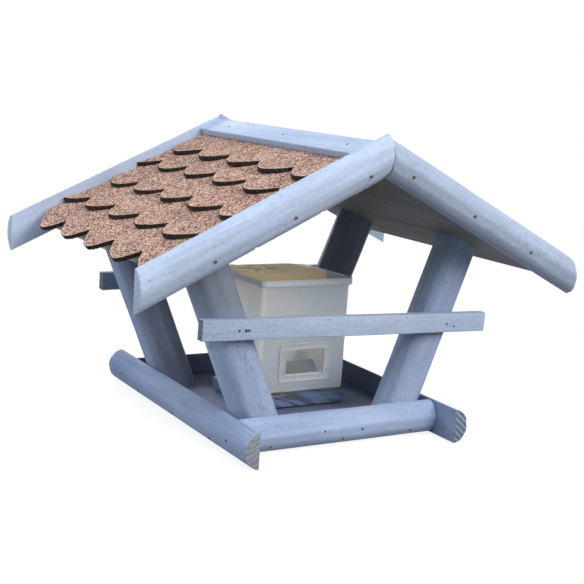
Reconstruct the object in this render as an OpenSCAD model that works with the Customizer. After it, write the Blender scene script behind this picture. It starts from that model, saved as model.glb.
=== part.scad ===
// Bird feeder house: a log-framed tray on the table, four leaning posts, a shingled
// gable roof between half-log verges, two perch laths and a loose feed box with a lid.
// Millimetres. +Z is up, the front gable faces -Y and the ridge runs along Y.
// The origin is under the middle of the tray, on the surface that it stands on.

/* [Roof] */
// Width of the roof across the lower tips of the verge logs
roof_w = 600; // [540:5:680]
// Length of the roof deck between the flat faces of the verge logs
roof_l = 411; // [380:1:460]
// Slope of the roof in degrees
pitch = 25.7; // [22:0.1:30]
// Height of the verge tips above the table
tip_z = 186; // [170:1:220]

/* [Verge logs] */
// Plumb height of a verge log's flat face
verge_h = 48; // [44:1:56]
// How far a verge log bulges out from its flat face
verge_bulge = 18; // [14:0.5:20]

/* [Deck boards] */
// Thickness of a deck board
deck_t = 20.5; // [18:0.5:26]
// How far the deck's eave edge stays back from the verge tips, measured level
eave_setback = 60; // [45:1:75]
// Gap between neighbouring deck boards
board_gap = 0.4; // [0.2:0.1:1]
// Size of the bevel along the lower edges of a deck board
board_bevel = 2; // [1:0.5:4]

/* [Shingles] */
// Thickness of a shingle
shingle_t = 3.6; // [2.8:0.1:4.2]
// How far the eave tabs would hang past the deck, along the slope, before they are cut back
tab_overhang = 30; // [26:0.5:34]
// How much the eave tabs are cut back
eave_trim = 7.3; // [0:0.1:10]
// Distance of the top course's tips from the ridge, along the slope
top_tip = 79; // [72:0.1:86]
// Distance from the fourth course to the top course, along the slope
top_step = 45.5; // [40:0.5:52]
// How far a course reaches up under the tips of the one above it
course_overlap = 49.5; // [44:0.5:56]
// Depth of the rounded end of a tab
tab_depth = 24; // [18:0.5:28]
// Width of a tab
tab_w = 80; // [70:0.5:90]
// Gap between the shingles and the verge logs
shingle_side_gap = 0.5; // [0.2:0.1:1]
// How far the starter strip under the eave course reaches past the deck
starter_overhang = 3.3; // [1:0.1:5]

/* [Ridge strips] */
// Width of a ridge strip's upper face
strip_w = 35; // [30:1:42]
// Thickness of a ridge strip
strip_t = 9; // [6:0.5:12]

/* [Tray] */
// Inside width of the tray between the side rails
tray_w = 278.4; // [250:0.1:310]
// Inside length of the tray between the front and rear rails
tray_l = 294; // [270:1:320]
// Height of a rail's flat face
rail_h = 44; // [38:1:50]
// How far a rail bulges out from its flat face
rail_bulge = 18.5; // [14:0.5:20]
// Length of a side rail
rail_l = 406; // [390:1:430]
// Thickness of the floor board
floor_t = 14; // [11:0.5:17]

/* [Posts] */
// Diameter of a post
post_d = 53; // [44:1:58]
// Outward lean of a post in degrees
post_lean = 21.3; // [17:0.1:25]
// Clearance between a post and the upper edge of the side rail
post_rail_gap = 3; // [1:0.5:8]

/* [Perches] */
// Length of a perch lath
perch_l = 402; // [370:1:430]
// Height of a perch lath
perch_h = 23.4; // [18:0.1:28]
// How much higher the front lath is at its left end than at its right end
perch_taper = 4.8; // [0:0.2:6]
// Thickness of a perch lath
perch_t = 12; // [9:0.5:16]
// Height of the middle of a perch lath above the table
perch_z = 147; // [130:1:165]
// Lean of the front lath in degrees, left end up
perch_lean = 1.7; // [0:0.1:3]
// Sideways offset of the laths towards the right
perch_shift = 4.5; // [0:0.5:10]

/* [Pedestal] */
// Width of the board under the feed box
pedestal_w = 136; // [128:1:144]
// Length of the board under the feed box
pedestal_l = 118; // [110:1:126]
// Thickness of the board under the feed box
pedestal_t = 17; // [14:0.5:22]
// Place of the board's middle across the tray
pedestal_x = 8; // [0:0.5:15]
// Place of the board's middle along the tray
pedestal_y = 14.5; // [8:0.5:20]

/* [Feed box] */
// Width across the lid
box_w = 136.5; // [126:0.5:142]
// Length across the lid
box_l = 123; // [114:0.5:126]
// Height of the box without its lid
box_h = 148.5; // [130:0.1:160]
// How far each side draws in from the mouth to the base
box_taper = 1.2; // [0.6:0.1:4]
// Thickness of the box walls
box_wall = 1.8; // [1.4:0.1:2.6]
// Corner radius of the box at its mouth
box_corner = 7; // [5:0.5:12]
// Place of the box's middle across the tray
box_x = 18; // [8:0.5:20]
// Place of the box's middle along the tray
box_y = 29; // [20:0.5:30]
// Gap between the box and the board, and between the lid and the box
seat_gap = 0.2; // [0.1:0.05:0.4]

/* [Lid] */
// Height of the lid's skirt
lid_skirt = 10; // [8:0.5:14]
// Thickness of the lid's skirt and top
lid_wall = 1.8; // [1.4:0.1:2.4]
// Clearance between the skirt and the mouth of the box
lid_clear = 0.4; // [0.3:0.05:0.8]
// Rise of the lid's crowned middle
lid_crown = 1.5; // [1:0.5:5]
// Width of the level border round the crowned middle
lid_border = 7; // [5:0.5:10]

/* [Window] */
// Width of the feeding window
window_w = 58; // [50:1:64]
// Height of the feeding window
window_h = 35; // [28:1:40]
// Sideways place of the window on the front wall, towards the right
window_x = 2.5; // [0:0.5:5]
// Height of the window's sill above the base of the box
window_sill = 22.5; // [16:0.5:28]
// Width of the frame's side borders
frame_side = 10; // [8:0.5:12]
// Width of the frame's upper and lower borders
frame_edge = 8; // [6:0.5:10]
// Thickness of the frame's face
frame_t = 2.4; // [1.6:0.1:3.2]
// Thickness of the collar that passes through the wall
collar_t = 1.8; // [1.4:0.1:2.4]
// How far the collar reaches into the box
collar_l = 5.5; // [4:0.5:8]
// Clearance between the collar and the wall
collar_gap = 0.2; // [0.1:0.05:0.4]

/* [Fasteners] */
// Diameter of a nail
nail_d = 2; // [1.6:0.1:2.6]
// Diameter of a nail's head
nail_head_d = 3.4; // [2.8:0.1:5]
// Thickness of a nail's head
nail_head_t = 1; // [0.8:0.1:1.5]
// Length of the long nails
nail_l = 45; // [38:1:50]
// Length of the ridge nails
ridge_nail_l = 30; // [26:0.5:33]
// Diameter of a roofing nail's flat head
roof_head_d = 8; // [6:0.5:10]
// Length of a roofing nail
roof_nail_l = 18; // [14:0.5:20]
// Diameter of a post screw
screw_d = 4.5; // [3.5:0.1:5]
// Diameter of a post screw's countersunk head
screw_head_d = 8.6; // [7:0.1:10]
// Length of a post screw
screw_l = 55; // [45:1:65]
// Length of a pedestal screw
pedestal_screw_l = 25; // [20:0.5:27]
// Radial clearance of nails and screws in their holes
nail_fit = 0.05; // [0.03:0.01:0.1]
// Height of the verge nails above the underside of the deck
verge_nail_up = 15.5; // [10:0.5:16]
// Distance of the upper verge nails from the ridge
verge_nail_top = 25; // [18:1:40]
// Distance of the lower verge nails from the eave
verge_nail_low = 33; // [18:1:40]
// Height of the nails that hold the floor board above the table
rail_nail_up = 10; // [5:0.5:10.5]
// Distance of the front and rear rails' outer nails from the side rails
rail_nail_end = 38; // [30:0.5:46]
// Distance of the side rails' outer floor nails from the front and rear rails
side_nail_end = 40; // [36:0.5:50]
// Distance of the outer ridge nails from the verge logs
ridge_nail_end = 57; // [45:1:70]
// Distance of a roofing nail from the upper edge of its course
roof_nail_in = 16; // [11:0.5:19]
// Distance of the outer roofing nails from the post screws, along the ridge
roof_nail_clear = 13; // [9:0.5:20]
// Distance of the pedestal screws from the edges of the board
pedestal_screw_in = 22; // [15:1:30]

/* [Hidden] */
$fn = 64;
BLUE = [0.60, 0.67, 0.82];
PALE_BLUE = [0.70, 0.77, 0.90];
SLATE = [0.36, 0.39, 0.47];
STONE = [0.66, 0.50, 0.44];
MILK = [0.82, 0.84, 0.84, 0.6];
STRAW = [0.68, 0.60, 0.42];
STEEL = [0.30, 0.28, 0.28];

COURSES = 5;
BOARDS = 3;
LEFT = -1;
RIGHT = 1;
FRONT = -1;
REAR = 1;
roof_nails = 4;
starter_nail_in = 10;
nail_point = 4;
nail_proud = 0.3;
ridge_clear = 0.5;
clip_slot = [1.4, 6];
clip_nib = 1;
frame_round = 3;
crown_run = 3;
hull_fn = 32;
thin = 0.01;
reach = roof_w + roof_l;

tip_x = roof_w / 2;
ridge_z = tip_z + tip_x * tan(pitch);
verge_d = verge_h * cos(pitch);
eave_s = (tip_x - eave_setback) / cos(pitch);
board_w = eave_s / BOARDS;
eave_tip_s = eave_s + tab_overhang;
course_step = (eave_tip_s - top_tip - top_step) / (COURSES - 2);
tilt = asin(shingle_t / course_step);
tab_count = ceil(roof_l / tab_w) + 1;
shingle_w = roof_l - 2 * shingle_side_gap;
foot_x = tray_w / 2 - post_rail_gap - (rail_h - floor_t) * tan(post_lean)
    - post_d / 2 / cos(post_lean);
post_y = tray_l / 2 - post_d / 2;
pedestal_z = floor_t + pedestal_t;
box_z = pedestal_z + seat_gap;
mouth_w = box_w - 2 * (lid_wall + lid_clear);
mouth_l = box_l - 2 * (lid_wall + lid_clear);
base_w = mouth_w - 2 * box_taper;
base_l = mouth_l - 2 * box_taper;
wall_lean = atan(box_taper / box_h);
cut_w = window_w + 2 * (collar_t + collar_gap);
cut_h = window_h + 2 * (collar_t + collar_gap);

// Slope distance at which the underside of a course meets the deck, course 0 being the starter
function course_start(k) = eave_tip_s - k * course_step - course_overlap;
// Slope distance of the tips of a course
function course_tip(k) =
    k == 0 ? eave_s + starter_overhang
    : k == 1 ? eave_tip_s - eave_trim
    : k == COURSES ? top_tip
    : eave_tip_s - (k - 1) * course_step;
// Radius of a round log from the height of its flat face and its bulge
function log_r(flat, bulge) = (flat * flat / 4 + bulge * bulge) / (2 * bulge);
// How far a half log's surface lies from its flat face, off its middle by a distance
function log_depth(flat, bulge, off) =
    bulge - log_r(flat, bulge) + sqrt(pow(log_r(flat, bulge), 2) - off * off);
// Distance across the tray of a post's axis at a height
function post_x(z) = foot_x + (z - floor_t) * tan(post_lean);
// Height at which a post's axis meets the underside of the deck
function post_top_z() =
    (ridge_z - foot_x * tan(pitch) + floor_t * tan(post_lean) * tan(pitch))
    / (1 + tan(post_lean) * tan(pitch));
// Height of the underside of a ridge strip above the underside of the deck
function strip_n() =
    deck_t + (strip_s() - course_start(COURSES)) * tan(tilt) + shingle_t / cos(tilt);
// Slope distance of the lower edge of a ridge strip, whose upper face starts over the ridge
function strip_s() =
    (strip_w - tan(pitch) * (deck_t + shingle_t / cos(tilt) + strip_t - course_start(COURSES) * tan(tilt)))
    / (1 + tan(pitch) * tan(tilt));
// Height of the middle of a slanted lath at a distance across the tray
function lath_z(x, slant) = perch_z - (x - perch_shift) * tan(slant);

// Places: shapes are drawn for the right-hand side and the front, and mirrored to the others
module at_side(side) {
    if (side == LEFT) mirror([1, 0, 0]) children();
    else children();
}

module at_row(row) {
    if (row == REAR) mirror([0, 1, 0]) children();
    else children();
}

// Roof frame: X runs down the slope from the ridge, Z stands up from the underside of the deck
module on_slope() {
    translate([0, 0, ridge_z]) rotate([0, pitch, 0]) children();
}

// Shingle frame: as the roof frame, but along the tilted underside of a course
module on_course(k) {
    on_slope() translate([course_start(k), 0, deck_t]) rotate([0, -tilt, 0]) children();
}

// Keeps what lies to the right of the plumb plane through the ridge, up to a distance
module plumb_cut(from, to) {
    intersection() {
        children();
        translate([from, -reach, -reach]) cube([to - from, 2 * reach, 2 * reach]);
    }
}

module in_box() {
    translate([box_x, box_y, box_z]) children();
}

// Front wall frame of the feed box: X across, Z up the wall, -Y out of it
module on_front_wall() {
    in_box() translate([0, -base_l / 2, 0]) rotate([wall_lean, 0, 0]) children();
}

// Fasteners point down -Z with the outer face of the head at the origin
module nail(length, head_d) {
    translate([0, 0, -nail_head_t]) cylinder(h = nail_head_t, d = head_d);
    translate([0, 0, -length + nail_point]) cylinder(h = length - nail_point - nail_head_t, d = nail_d);
    translate([0, 0, -length]) cylinder(h = nail_point, d1 = nail_d / 4, d2 = nail_d);
}

module nail_hole(length, head_d) {
    translate([0, 0, -length - nail_fit]) cylinder(h = length + nail_fit, d = nail_d + 2 * nail_fit);
    translate([0, 0, -nail_head_t]) cylinder(h = nail_head_t + head_d, d = head_d + 2 * nail_fit);
}

module screw(length) {
    head_h = (screw_head_d - screw_d) / 2;
    translate([0, 0, -head_h]) cylinder(h = head_h, d1 = screw_d, d2 = screw_head_d);
    translate([0, 0, -length]) cylinder(h = length - head_h, d = screw_d);
}

module screw_hole(length) {
    head_h = (screw_head_d - screw_d) / 2;
    wide = 2 * nail_fit;
    translate([0, 0, -head_h]) cylinder(h = head_h, d1 = screw_d + wide, d2 = screw_head_d + wide);
    translate([0, 0, -length - nail_fit]) cylinder(h = length + nail_fit, d = screw_d + wide);
}

// Where each kind of fastener goes, all round the house
module verge_nail_places() {
    off = verge_d / 2 - verge_nail_up;
    out = roof_l / 2 + log_depth(verge_d, verge_bulge, off) + nail_proud;
    for (side = [LEFT, RIGHT], row = [FRONT, REAR], i = [0:2]) {
        s = verge_nail_top + i * (eave_s - verge_nail_top - verge_nail_low) / 2;
        at_side(side) at_row(row) on_slope()
            translate([s, -out, verge_nail_up]) rotate([90, 0, 0]) children();
    }
}

module rail_nail_places() {
    side_x = tray_w / 2 + nail_proud;
    row_y = tray_l / 2 + nail_proud;
    low = log_depth(rail_h, rail_bulge, rail_h / 2 - rail_nail_up);
    for (side = [LEFT, RIGHT], row = [FRONT, REAR]) {
        at_side(side) at_row(row)
            translate([side_x + rail_bulge, -tray_l / 2 - rail_bulge / 2, rail_h / 2])
            rotate([0, 90, 0]) children();
    }
    for (side = [LEFT, RIGHT], i = [-1:1]) {
        at_side(side)
            translate([side_x + low, i * (tray_l / 2 - side_nail_end), rail_nail_up])
            rotate([0, 90, 0]) children();
    }
    for (row = [FRONT, REAR], i = [-1:1]) {
        at_row(row)
            translate([i * (tray_w / 2 - rail_nail_end), -row_y - low, rail_nail_up])
            rotate([90, 0, 0]) children();
    }
}

module perch_nail_places() {
    for (side = [LEFT, RIGHT], row = [FRONT, REAR]) {
        z = lath_z(side * post_x(perch_z), row == FRONT ? perch_lean : 0);
        at_row(row)
            translate([side * post_x(z), -tray_l / 2 - perch_t - nail_proud, z])
            rotate([90, 0, 0]) children();
    }
}

module ridge_nail_places() {
    for (side = [LEFT, RIGHT], i = [-1:1]) {
        s = strip_s() - strip_w / 2;
        at_side(side) on_slope()
            translate([s, i * (roof_l / 2 - ridge_nail_end), strip_n() + strip_t + nail_proud])
            children();
    }
}

// Course 0 is the starter strip, and the top course is held by the ridge nails
module roof_nail_places(courses) {
    for (side = [LEFT, RIGHT], k = courses, i = [0:roof_nails - 1]) {
        s = k == 0 ? starter_nail_in : roof_nail_in;
        y = (2 * i / (roof_nails - 1) - 1) * (post_y + roof_nail_clear);
        at_side(side) on_course(k) translate([s, y, shingle_t]) children();
    }
}

module post_screw_places() {
    for (side = [LEFT, RIGHT], row = [FRONT, REAR]) {
        top_s = post_x(post_top_z()) / cos(pitch);
        at_side(side) at_row(row) on_slope() translate([top_s, -post_y, deck_t]) children();
        at_side(side) at_row(row) translate([foot_x, -post_y, 0]) rotate([180, 0, 0]) children();
    }
}

module pedestal_screw_places() {
    for (x = [-1, 1], y = [-1, 1]) {
        translate([
            pedestal_x + x * (pedestal_w / 2 - pedestal_screw_in),
            pedestal_y + y * (pedestal_l / 2 - pedestal_screw_in),
            0
        ]) rotate([180, 0, 0]) children();
    }
}

// Half log along X with its flat face on the plane Y = 0 and its round side towards -Y
module half_log(length, flat, bulge) {
    r = log_r(flat, bulge);
    intersection() {
        translate([0, r - bulge, flat / 2]) rotate([0, 90, 0]) cylinder(h = length, r = r);
        translate([0, -2 * r, 0]) cube([length, 2 * r, flat]);
    }
}

module rounded(w, l, r) {
    square([w - 2 * r, l], center = true);
    square([w, l - 2 * r], center = true);
    for (x = [-1, 1], y = [-1, 1]) translate([x * (w / 2 - r), y * (l / 2 - r)]) circle(r);
}

// Tray
module floor_board() {
    color(SLATE) difference() {
        translate([-tray_w / 2, -tray_l / 2, 0]) cube([tray_w, tray_l, floor_t]);
        rail_nail_places() nail_hole(nail_l, nail_head_d);
        post_screw_places() screw_hole(screw_l);
        pedestal_screw_places() screw_hole(pedestal_screw_l);
    }
}

module rail_side(side) {
    color(BLUE) difference() {
        at_side(side) translate([tray_w / 2, -rail_l / 2, 0]) rotate([0, 0, 90])
            half_log(rail_l, rail_h, rail_bulge);
        rail_nail_places() nail_hole(nail_l, nail_head_d);
    }
}

module rail_end(row) {
    color(BLUE) difference() {
        at_row(row) translate([-tray_w / 2, -tray_l / 2, 0]) half_log(tray_w, rail_h, rail_bulge);
        rail_nail_places() nail_hole(nail_l, nail_head_d);
    }
}

module rail_nails() {
    color(STEEL) rail_nail_places() nail(nail_l, nail_head_d);
}

// Posts
module post(side, row) {
    color(BLUE) difference() {
        at_side(side) at_row(row) difference() {
            translate([foot_x, -post_y, floor_t]) rotate([0, post_lean, 0])
                translate([0, 0, -post_d]) cylinder(h = ridge_z, d = post_d);
            translate([-reach, -reach, floor_t - reach]) cube([2 * reach, 2 * reach, reach]);
            on_slope() translate([-reach, -reach, 0]) cube([2 * reach, 2 * reach, reach]);
        }
        post_screw_places() screw_hole(screw_l);
        perch_nail_places() nail_hole(nail_l, nail_head_d);
    }
}

module post_screws() {
    color(STEEL) post_screw_places() screw(screw_l);
}

// Perches
module perch(row) {
    slant = row == FRONT ? perch_lean : 0;
    left_h = perch_h + (row == FRONT ? perch_taper / 2 : 0);
    right_h = perch_h - (row == FRONT ? perch_taper / 2 : 0);
    color(BLUE) difference() {
        at_row(row) translate([perch_shift, -tray_l / 2, perch_z]) rotate([0, slant, 0])
            rotate([90, 0, 0]) linear_extrude(perch_t) polygon([
                [-perch_l / 2, -left_h / 2], [perch_l / 2, -right_h / 2],
                [perch_l / 2, right_h / 2], [-perch_l / 2, left_h / 2]
            ]);
        perch_nail_places() nail_hole(nail_l, nail_head_d);
    }
}

module perch_nails() {
    color(STEEL) perch_nail_places() nail(nail_l, nail_head_d);
}

// Roof
module verge(side, row) {
    color(PALE_BLUE) difference() {
        at_side(side) at_row(row) plumb_cut(0, tip_x)
            on_slope() translate([-tip_x, -roof_l / 2, 0])
            half_log(3 * tip_x, verge_d, verge_bulge);
        verge_nail_places() nail_hole(nail_l, nail_head_d);
    }
}

module verge_nails() {
    color(STEEL) verge_nail_places() nail(nail_l, nail_head_d);
}

// Deck boards count from the ridge, and the first one is cut plumb there
module deck_board(side, i) {
    from = i == 1 ? -board_w : (i - 1) * board_w + board_gap / 2;
    to = i == BOARDS ? eave_s : i * board_w - board_gap / 2;
    color(SLATE) difference() {
        at_side(side) plumb_cut(0, tip_x) on_slope()
            translate([0, roof_l / 2, 0]) rotate([90, 0, 0]) linear_extrude(roof_l)
            polygon([
                [from, board_bevel], [from + board_bevel, 0], [to - board_bevel, 0],
                [to, board_bevel], [to, deck_t], [from, deck_t]
            ]);
        verge_nail_places() nail_hole(nail_l, nail_head_d);
        post_screw_places() screw_hole(screw_l);
        ridge_nail_places() nail_hole(ridge_nail_l, nail_head_d);
        roof_nail_places([0:COURSES - 1]) nail_hole(roof_nail_l, roof_head_d);
    }
}

// Outline of a course from its upper edge to its tips, drawn down +X
module course_outline(k) {
    tip = (course_tip(k) - course_start(k)) / cos(tilt);
    tab_r = (tab_w * tab_w / 4 + tab_depth * tab_depth) / (2 * tab_depth);
    half = k % 2 == 0 ? 0.5 : 0;
    translate([0, -shingle_w / 2]) square([tip - tab_depth, shingle_w]);
    intersection() {
        translate([tip - tab_depth - thin, -shingle_w / 2]) square([tab_depth + thin, shingle_w]);
        union() {
            for (i = [0:tab_count - 1]) {
                y = roof_l / 2 - (i + 0.5 - half) * tab_w;
                intersection() {
                    translate([tip - tab_r, y]) circle(tab_r);
                    translate([0, y - tab_w / 2]) square([tip, tab_w]);
                }
            }
        }
    }
}

module shingle_course(side, k) {
    color(STONE) difference() {
        at_side(side) plumb_cut(ridge_clear, reach) on_course(k)
            linear_extrude(shingle_t) course_outline(k);
        if (k < COURSES) roof_nail_places([k]) nail_hole(roof_nail_l, roof_head_d);
        else ridge_nail_places() nail_hole(ridge_nail_l, nail_head_d);
    }
}

module shingle_starter(side) {
    starter_l = (course_tip(0) - course_start(0)) / cos(tilt);
    color(STONE) difference() {
        at_side(side) on_course(0)
            translate([0, -shingle_w / 2, 0]) cube([starter_l, shingle_w, shingle_t]);
        roof_nail_places([0]) nail_hole(roof_nail_l, roof_head_d);
    }
}

module shingle_nails() {
    color(STEEL) roof_nail_places([0:COURSES - 1]) nail(roof_nail_l, roof_head_d);
}

module ridge_strip(side) {
    color(PALE_BLUE) difference() {
        at_side(side) plumb_cut(0, tip_x) on_slope()
            translate([strip_s() - 2 * strip_w, -roof_l / 2, strip_n()])
            cube([2 * strip_w, roof_l, strip_t]);
        ridge_nail_places() nail_hole(ridge_nail_l, nail_head_d);
    }
}

module ridge_nails() {
    color(STEEL) ridge_nail_places() nail(ridge_nail_l, nail_head_d);
}

// Feed box and the board that it stands on
module pedestal() {
    color(BLUE) difference() {
        translate([pedestal_x - pedestal_w / 2, pedestal_y - pedestal_l / 2, floor_t])
            cube([pedestal_w, pedestal_l, pedestal_t]);
        pedestal_screw_places() screw_hole(pedestal_screw_l);
    }
}

module pedestal_screws() {
    color(STEEL) pedestal_screw_places() screw(pedestal_screw_l);
}

// Tapered block with round corners, drawn in from the outside of the box by a wall
module box_body(wall, from, to) {
    hull($fn = hull_fn) {
        for (z = [from, to]) {
            grow = 2 * box_taper * z / box_h;
            translate([0, 0, z]) linear_extrude(thin)
                rounded(base_w + grow - 2 * wall, base_l + grow - 2 * wall, box_corner - wall);
        }
    }
}

module feed_box() {
    color(MILK) difference() {
        in_box() difference() {
            box_body(0, 0, box_h - thin);
            box_body(box_wall, box_wall, box_h + box_wall);
        }
        on_front_wall()
            translate([window_x - cut_w / 2, -box_wall, window_sill - collar_t - collar_gap])
            cube([cut_w, 3 * box_wall, cut_h]);
    }
}

module window_frame() {
    face_w = window_w + 2 * frame_side;
    face_h = window_h + 2 * frame_edge;
    inner_y = box_wall / cos(wall_lean) + collar_gap;
    color(MILK) on_front_wall() translate([window_x, 0, window_sill + window_h / 2]) {
        rotate([90, 0, 0]) linear_extrude(frame_t) difference() {
            rounded(face_w, face_h, frame_round);
            square([window_w, window_h], center = true);
            for (x = [-1, 1], y = [-1, 1]) {
                translate([x * (window_w + frame_side) / 2, y * face_h / 4])
                    square(clip_slot, center = true);
            }
        }
        translate([0, collar_l, 0]) rotate([90, 0, 0]) linear_extrude(collar_l) difference() {
            square([window_w + 2 * collar_t, window_h + 2 * collar_t], center = true);
            square([window_w, window_h], center = true);
        }
        for (x = [-1, 1], z = [-1, 1]) {
            translate([
                x * (cut_w / 2 + clip_nib / 2) - clip_nib - collar_gap / 2,
                inner_y,
                z * window_h / 4 - clip_slot[1] / 2
            ]) cube([2 * clip_nib + collar_gap, clip_nib, clip_slot[1]]);
        }
    }
}

module feed_box_lid() {
    pocket = 2 * lid_wall;
    top_w = box_w - 2 * lid_border;
    top_l = box_l - 2 * lid_border;
    color(STRAW) in_box() translate([0, 0, box_h + seat_gap + lid_wall - lid_skirt]) {
        difference() {
            linear_extrude(lid_skirt) rounded(box_w, box_l, box_corner);
            translate([0, 0, -lid_wall]) linear_extrude(lid_skirt)
                rounded(box_w - pocket, box_l - pocket, box_corner - lid_wall);
        }
        hull($fn = hull_fn) {
            translate([0, 0, lid_skirt - lid_wall / 2]) linear_extrude(lid_wall / 2)
                rounded(top_w, top_l, box_corner);
            translate([0, 0, lid_skirt]) linear_extrude(lid_crown)
                rounded(top_w - 2 * crown_run * lid_crown, top_l - 2 * crown_run * lid_crown, box_corner);
        }
    }
}

floor_board();
rail_side(LEFT);  // rail_left
rail_side(RIGHT);  // rail_right
rail_end(FRONT);  // rail_front
rail_end(REAR);  // rail_rear
rail_nails();
post(LEFT, FRONT);  // post_front_left
post(RIGHT, FRONT);  // post_front_right
post(LEFT, REAR);  // post_rear_left
post(RIGHT, REAR);  // post_rear_right
post_screws();
perch(FRONT);  // perch_front
perch(REAR);  // perch_rear
perch_nails();
verge(LEFT, FRONT);  // verge_front_left
verge(RIGHT, FRONT);  // verge_front_right
verge(LEFT, REAR);  // verge_rear_left
verge(RIGHT, REAR);  // verge_rear_right
verge_nails();
for (i = [1:BOARDS]) {
    deck_board(LEFT, i);
    deck_board(RIGHT, i);
}
shingle_starter(LEFT);  // shingle_starter_left
shingle_starter(RIGHT);  // shingle_starter_right
for (k = [1:COURSES]) {
    shingle_course(LEFT, k);
    shingle_course(RIGHT, k);
}
shingle_nails();
ridge_strip(LEFT);  // ridge_strip_left
ridge_strip(RIGHT);  // ridge_strip_right
ridge_nails();
pedestal();
pedestal_screws();
feed_box();
window_frame();
feed_box_lid();
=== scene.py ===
import math
import random

import bmesh
import bpy
from bpy.props import FloatProperty, FloatVectorProperty, PointerProperty
from mathutils import Matrix, Vector, noise


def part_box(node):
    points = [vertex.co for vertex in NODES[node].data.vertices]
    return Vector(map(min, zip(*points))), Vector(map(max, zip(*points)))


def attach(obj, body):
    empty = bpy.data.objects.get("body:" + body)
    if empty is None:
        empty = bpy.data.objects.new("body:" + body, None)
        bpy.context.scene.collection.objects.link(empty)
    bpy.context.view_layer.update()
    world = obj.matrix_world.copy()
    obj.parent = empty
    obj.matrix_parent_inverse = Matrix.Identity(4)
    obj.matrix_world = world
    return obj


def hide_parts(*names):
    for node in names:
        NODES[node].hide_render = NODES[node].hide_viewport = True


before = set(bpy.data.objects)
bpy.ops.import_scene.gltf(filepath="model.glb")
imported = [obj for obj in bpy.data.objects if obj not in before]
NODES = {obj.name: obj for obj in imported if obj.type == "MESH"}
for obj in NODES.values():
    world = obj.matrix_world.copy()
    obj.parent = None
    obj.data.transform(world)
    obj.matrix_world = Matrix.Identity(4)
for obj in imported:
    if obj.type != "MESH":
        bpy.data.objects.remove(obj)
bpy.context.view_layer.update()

bl_info = {
    "name": "Bird feeder house",
    "version": (1, 0, 0),
    "blender": (4, 5, 0),
    "location": "3D View > Sidebar > Feeder",
    "description": "Logs, shingles, feed box and stage of a bird feeder house",
    "category": "Object",
}

SIDES = {"left": -1.0, "right": 1.0}
ROWS = {"front": -1.0, "rear": 1.0}
COURSES = 5
# Looks of the posts. Painted shade: the rear posts are darkened as if under the roof, the rear left one lit
# on its left side by painted light, and the front left post greys high up; painted shadow: a dark band
# under the perch on both front posts
POST_LOOKS = {
    "front_left": {"shade": 1.07, "painted_shading": (0.13, 0.19, 0.8, 0.0), "painted_shadow": (0.118, 0.137, 0.72)},
    "front_right": {"shade": 1.06, "painted_shadow": (0.114, 0.133, 0.76)},
    "rear_left": {"shade": (0.50, 0.49, 0.49), "painted_side_light": ((-0.855, 0.518, 0.0), 0.58, 1.95)},
    "rear_right": {"shade": (0.58, 0.53, 0.47)},
}
# How the posts stand: lean past the plain one in degrees, foot towards +X, thickness
POST_STANDS = {
    "front_left": (1.5, 0.0046, 1.075), "front_right": (-0.9, 0.0005, 1.01),
    "rear_left": (1.3, 0.0020, 1.05), "rear_right": (0.0, 0.0010, 1.04),
}
# How the verges lie: slope past the roof's in degrees, lift, height, trim of the tip, slant of its cut
VERGE_LIES = {
    "front_left": (0.15, 0.0016, 1.053, 0.0, 0.0), "front_right": (0.2, -0.0005, 1.0, 0.0025, 0.086),
    "rear_left": (-0.45, -0.0003, 1.0, 0.0, 0.0), "rear_right": (0.0, 0.0, 1.0, 0.0, 0.0),
}
# Place of the first tab of each course from the eave up, in tabs
TAB_OFFSETS = (-0.11, 0.435, 0.0, 0.54, 0.0)
# Painted shade: the deck boards' stain darkened by one factor for each board
DECK_PAINTED_SHADES = (0.335, 0.48, 0.56)

# Lengths of the blanks that posts and verges are cut from, and how far from the foot or the ridge
# their middles lie
POST_BLANK, POST_MIDDLE = 0.36, 0.13
VERGE_BLANK, VERGE_MIDDLE = 0.75, 0.17
# Points round a log, rings of points along each piece, and points over the felt and the lid's crown
LOG_SIDES = 72
RAIL_RINGS, POST_RINGS, VERGE_RINGS, PERCH_RINGS, PEDESTAL_RINGS = 36, 30, 64, 30, 12
FELT_ROWS, FELT_COLUMNS, CROWN_ROWS, CROWN_COLUMNS = 34, 230, 64, 58
# Nail marks: place and size on the front rail; X, height and size on the front perch
RAIL_MARKS = (((-0.0291, -0.1654, 0.0222), 0.0017), ((0.0256, -0.1649, 0.0194), 0.0018))
PERCH_MARKS = ((-0.1412, 0.1510, 0.0023), (-0.1375, 0.1511, 0.0020), (0.1580, 0.1396, 0.0019))
# Felt short of what it meets, height of a sharp ledge, depth of a cutter, places that count as one
FELT_GAP, LEDGE, THROUGH, TOUCH = 0.0005, 0.0002, 0.03, 1e-5
# Window: depth of the cut in the wall, play round the collar, plate's corners, width of a clip slot
WALL_CUT, FRAME_PLAY, FRAME_CORNER, SLOT_WIDTH = 0.012, 0.0002, 0.003, 0.0014
# How far the sunken corner of the lid reaches, and how clear the milky plastic is
DROOP_REACH, MILKY_CLEAR = 0.038, 0.72
# Floor: width, tone and glow where it is seen
FLOOR_SIZE, FLOOR_SEEN, FLOOR_GLOW = 30.0, (0.27, 0.27, 0.27), 0.83
WHITE = (1.0, 1.0, 1.0, 1.0)
LAMP_TARGET = (0.0, 0.0, 0.2)
# Camera: turn, drop and roll in degrees, lens in millimetres, place
CAMERA_TURNS, CAMERA_LENS = (31.232, 10.641, 3.7237), 71.13
CAMERA_PLACE = (-0.75994, -1.27364, 0.43855)

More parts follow.
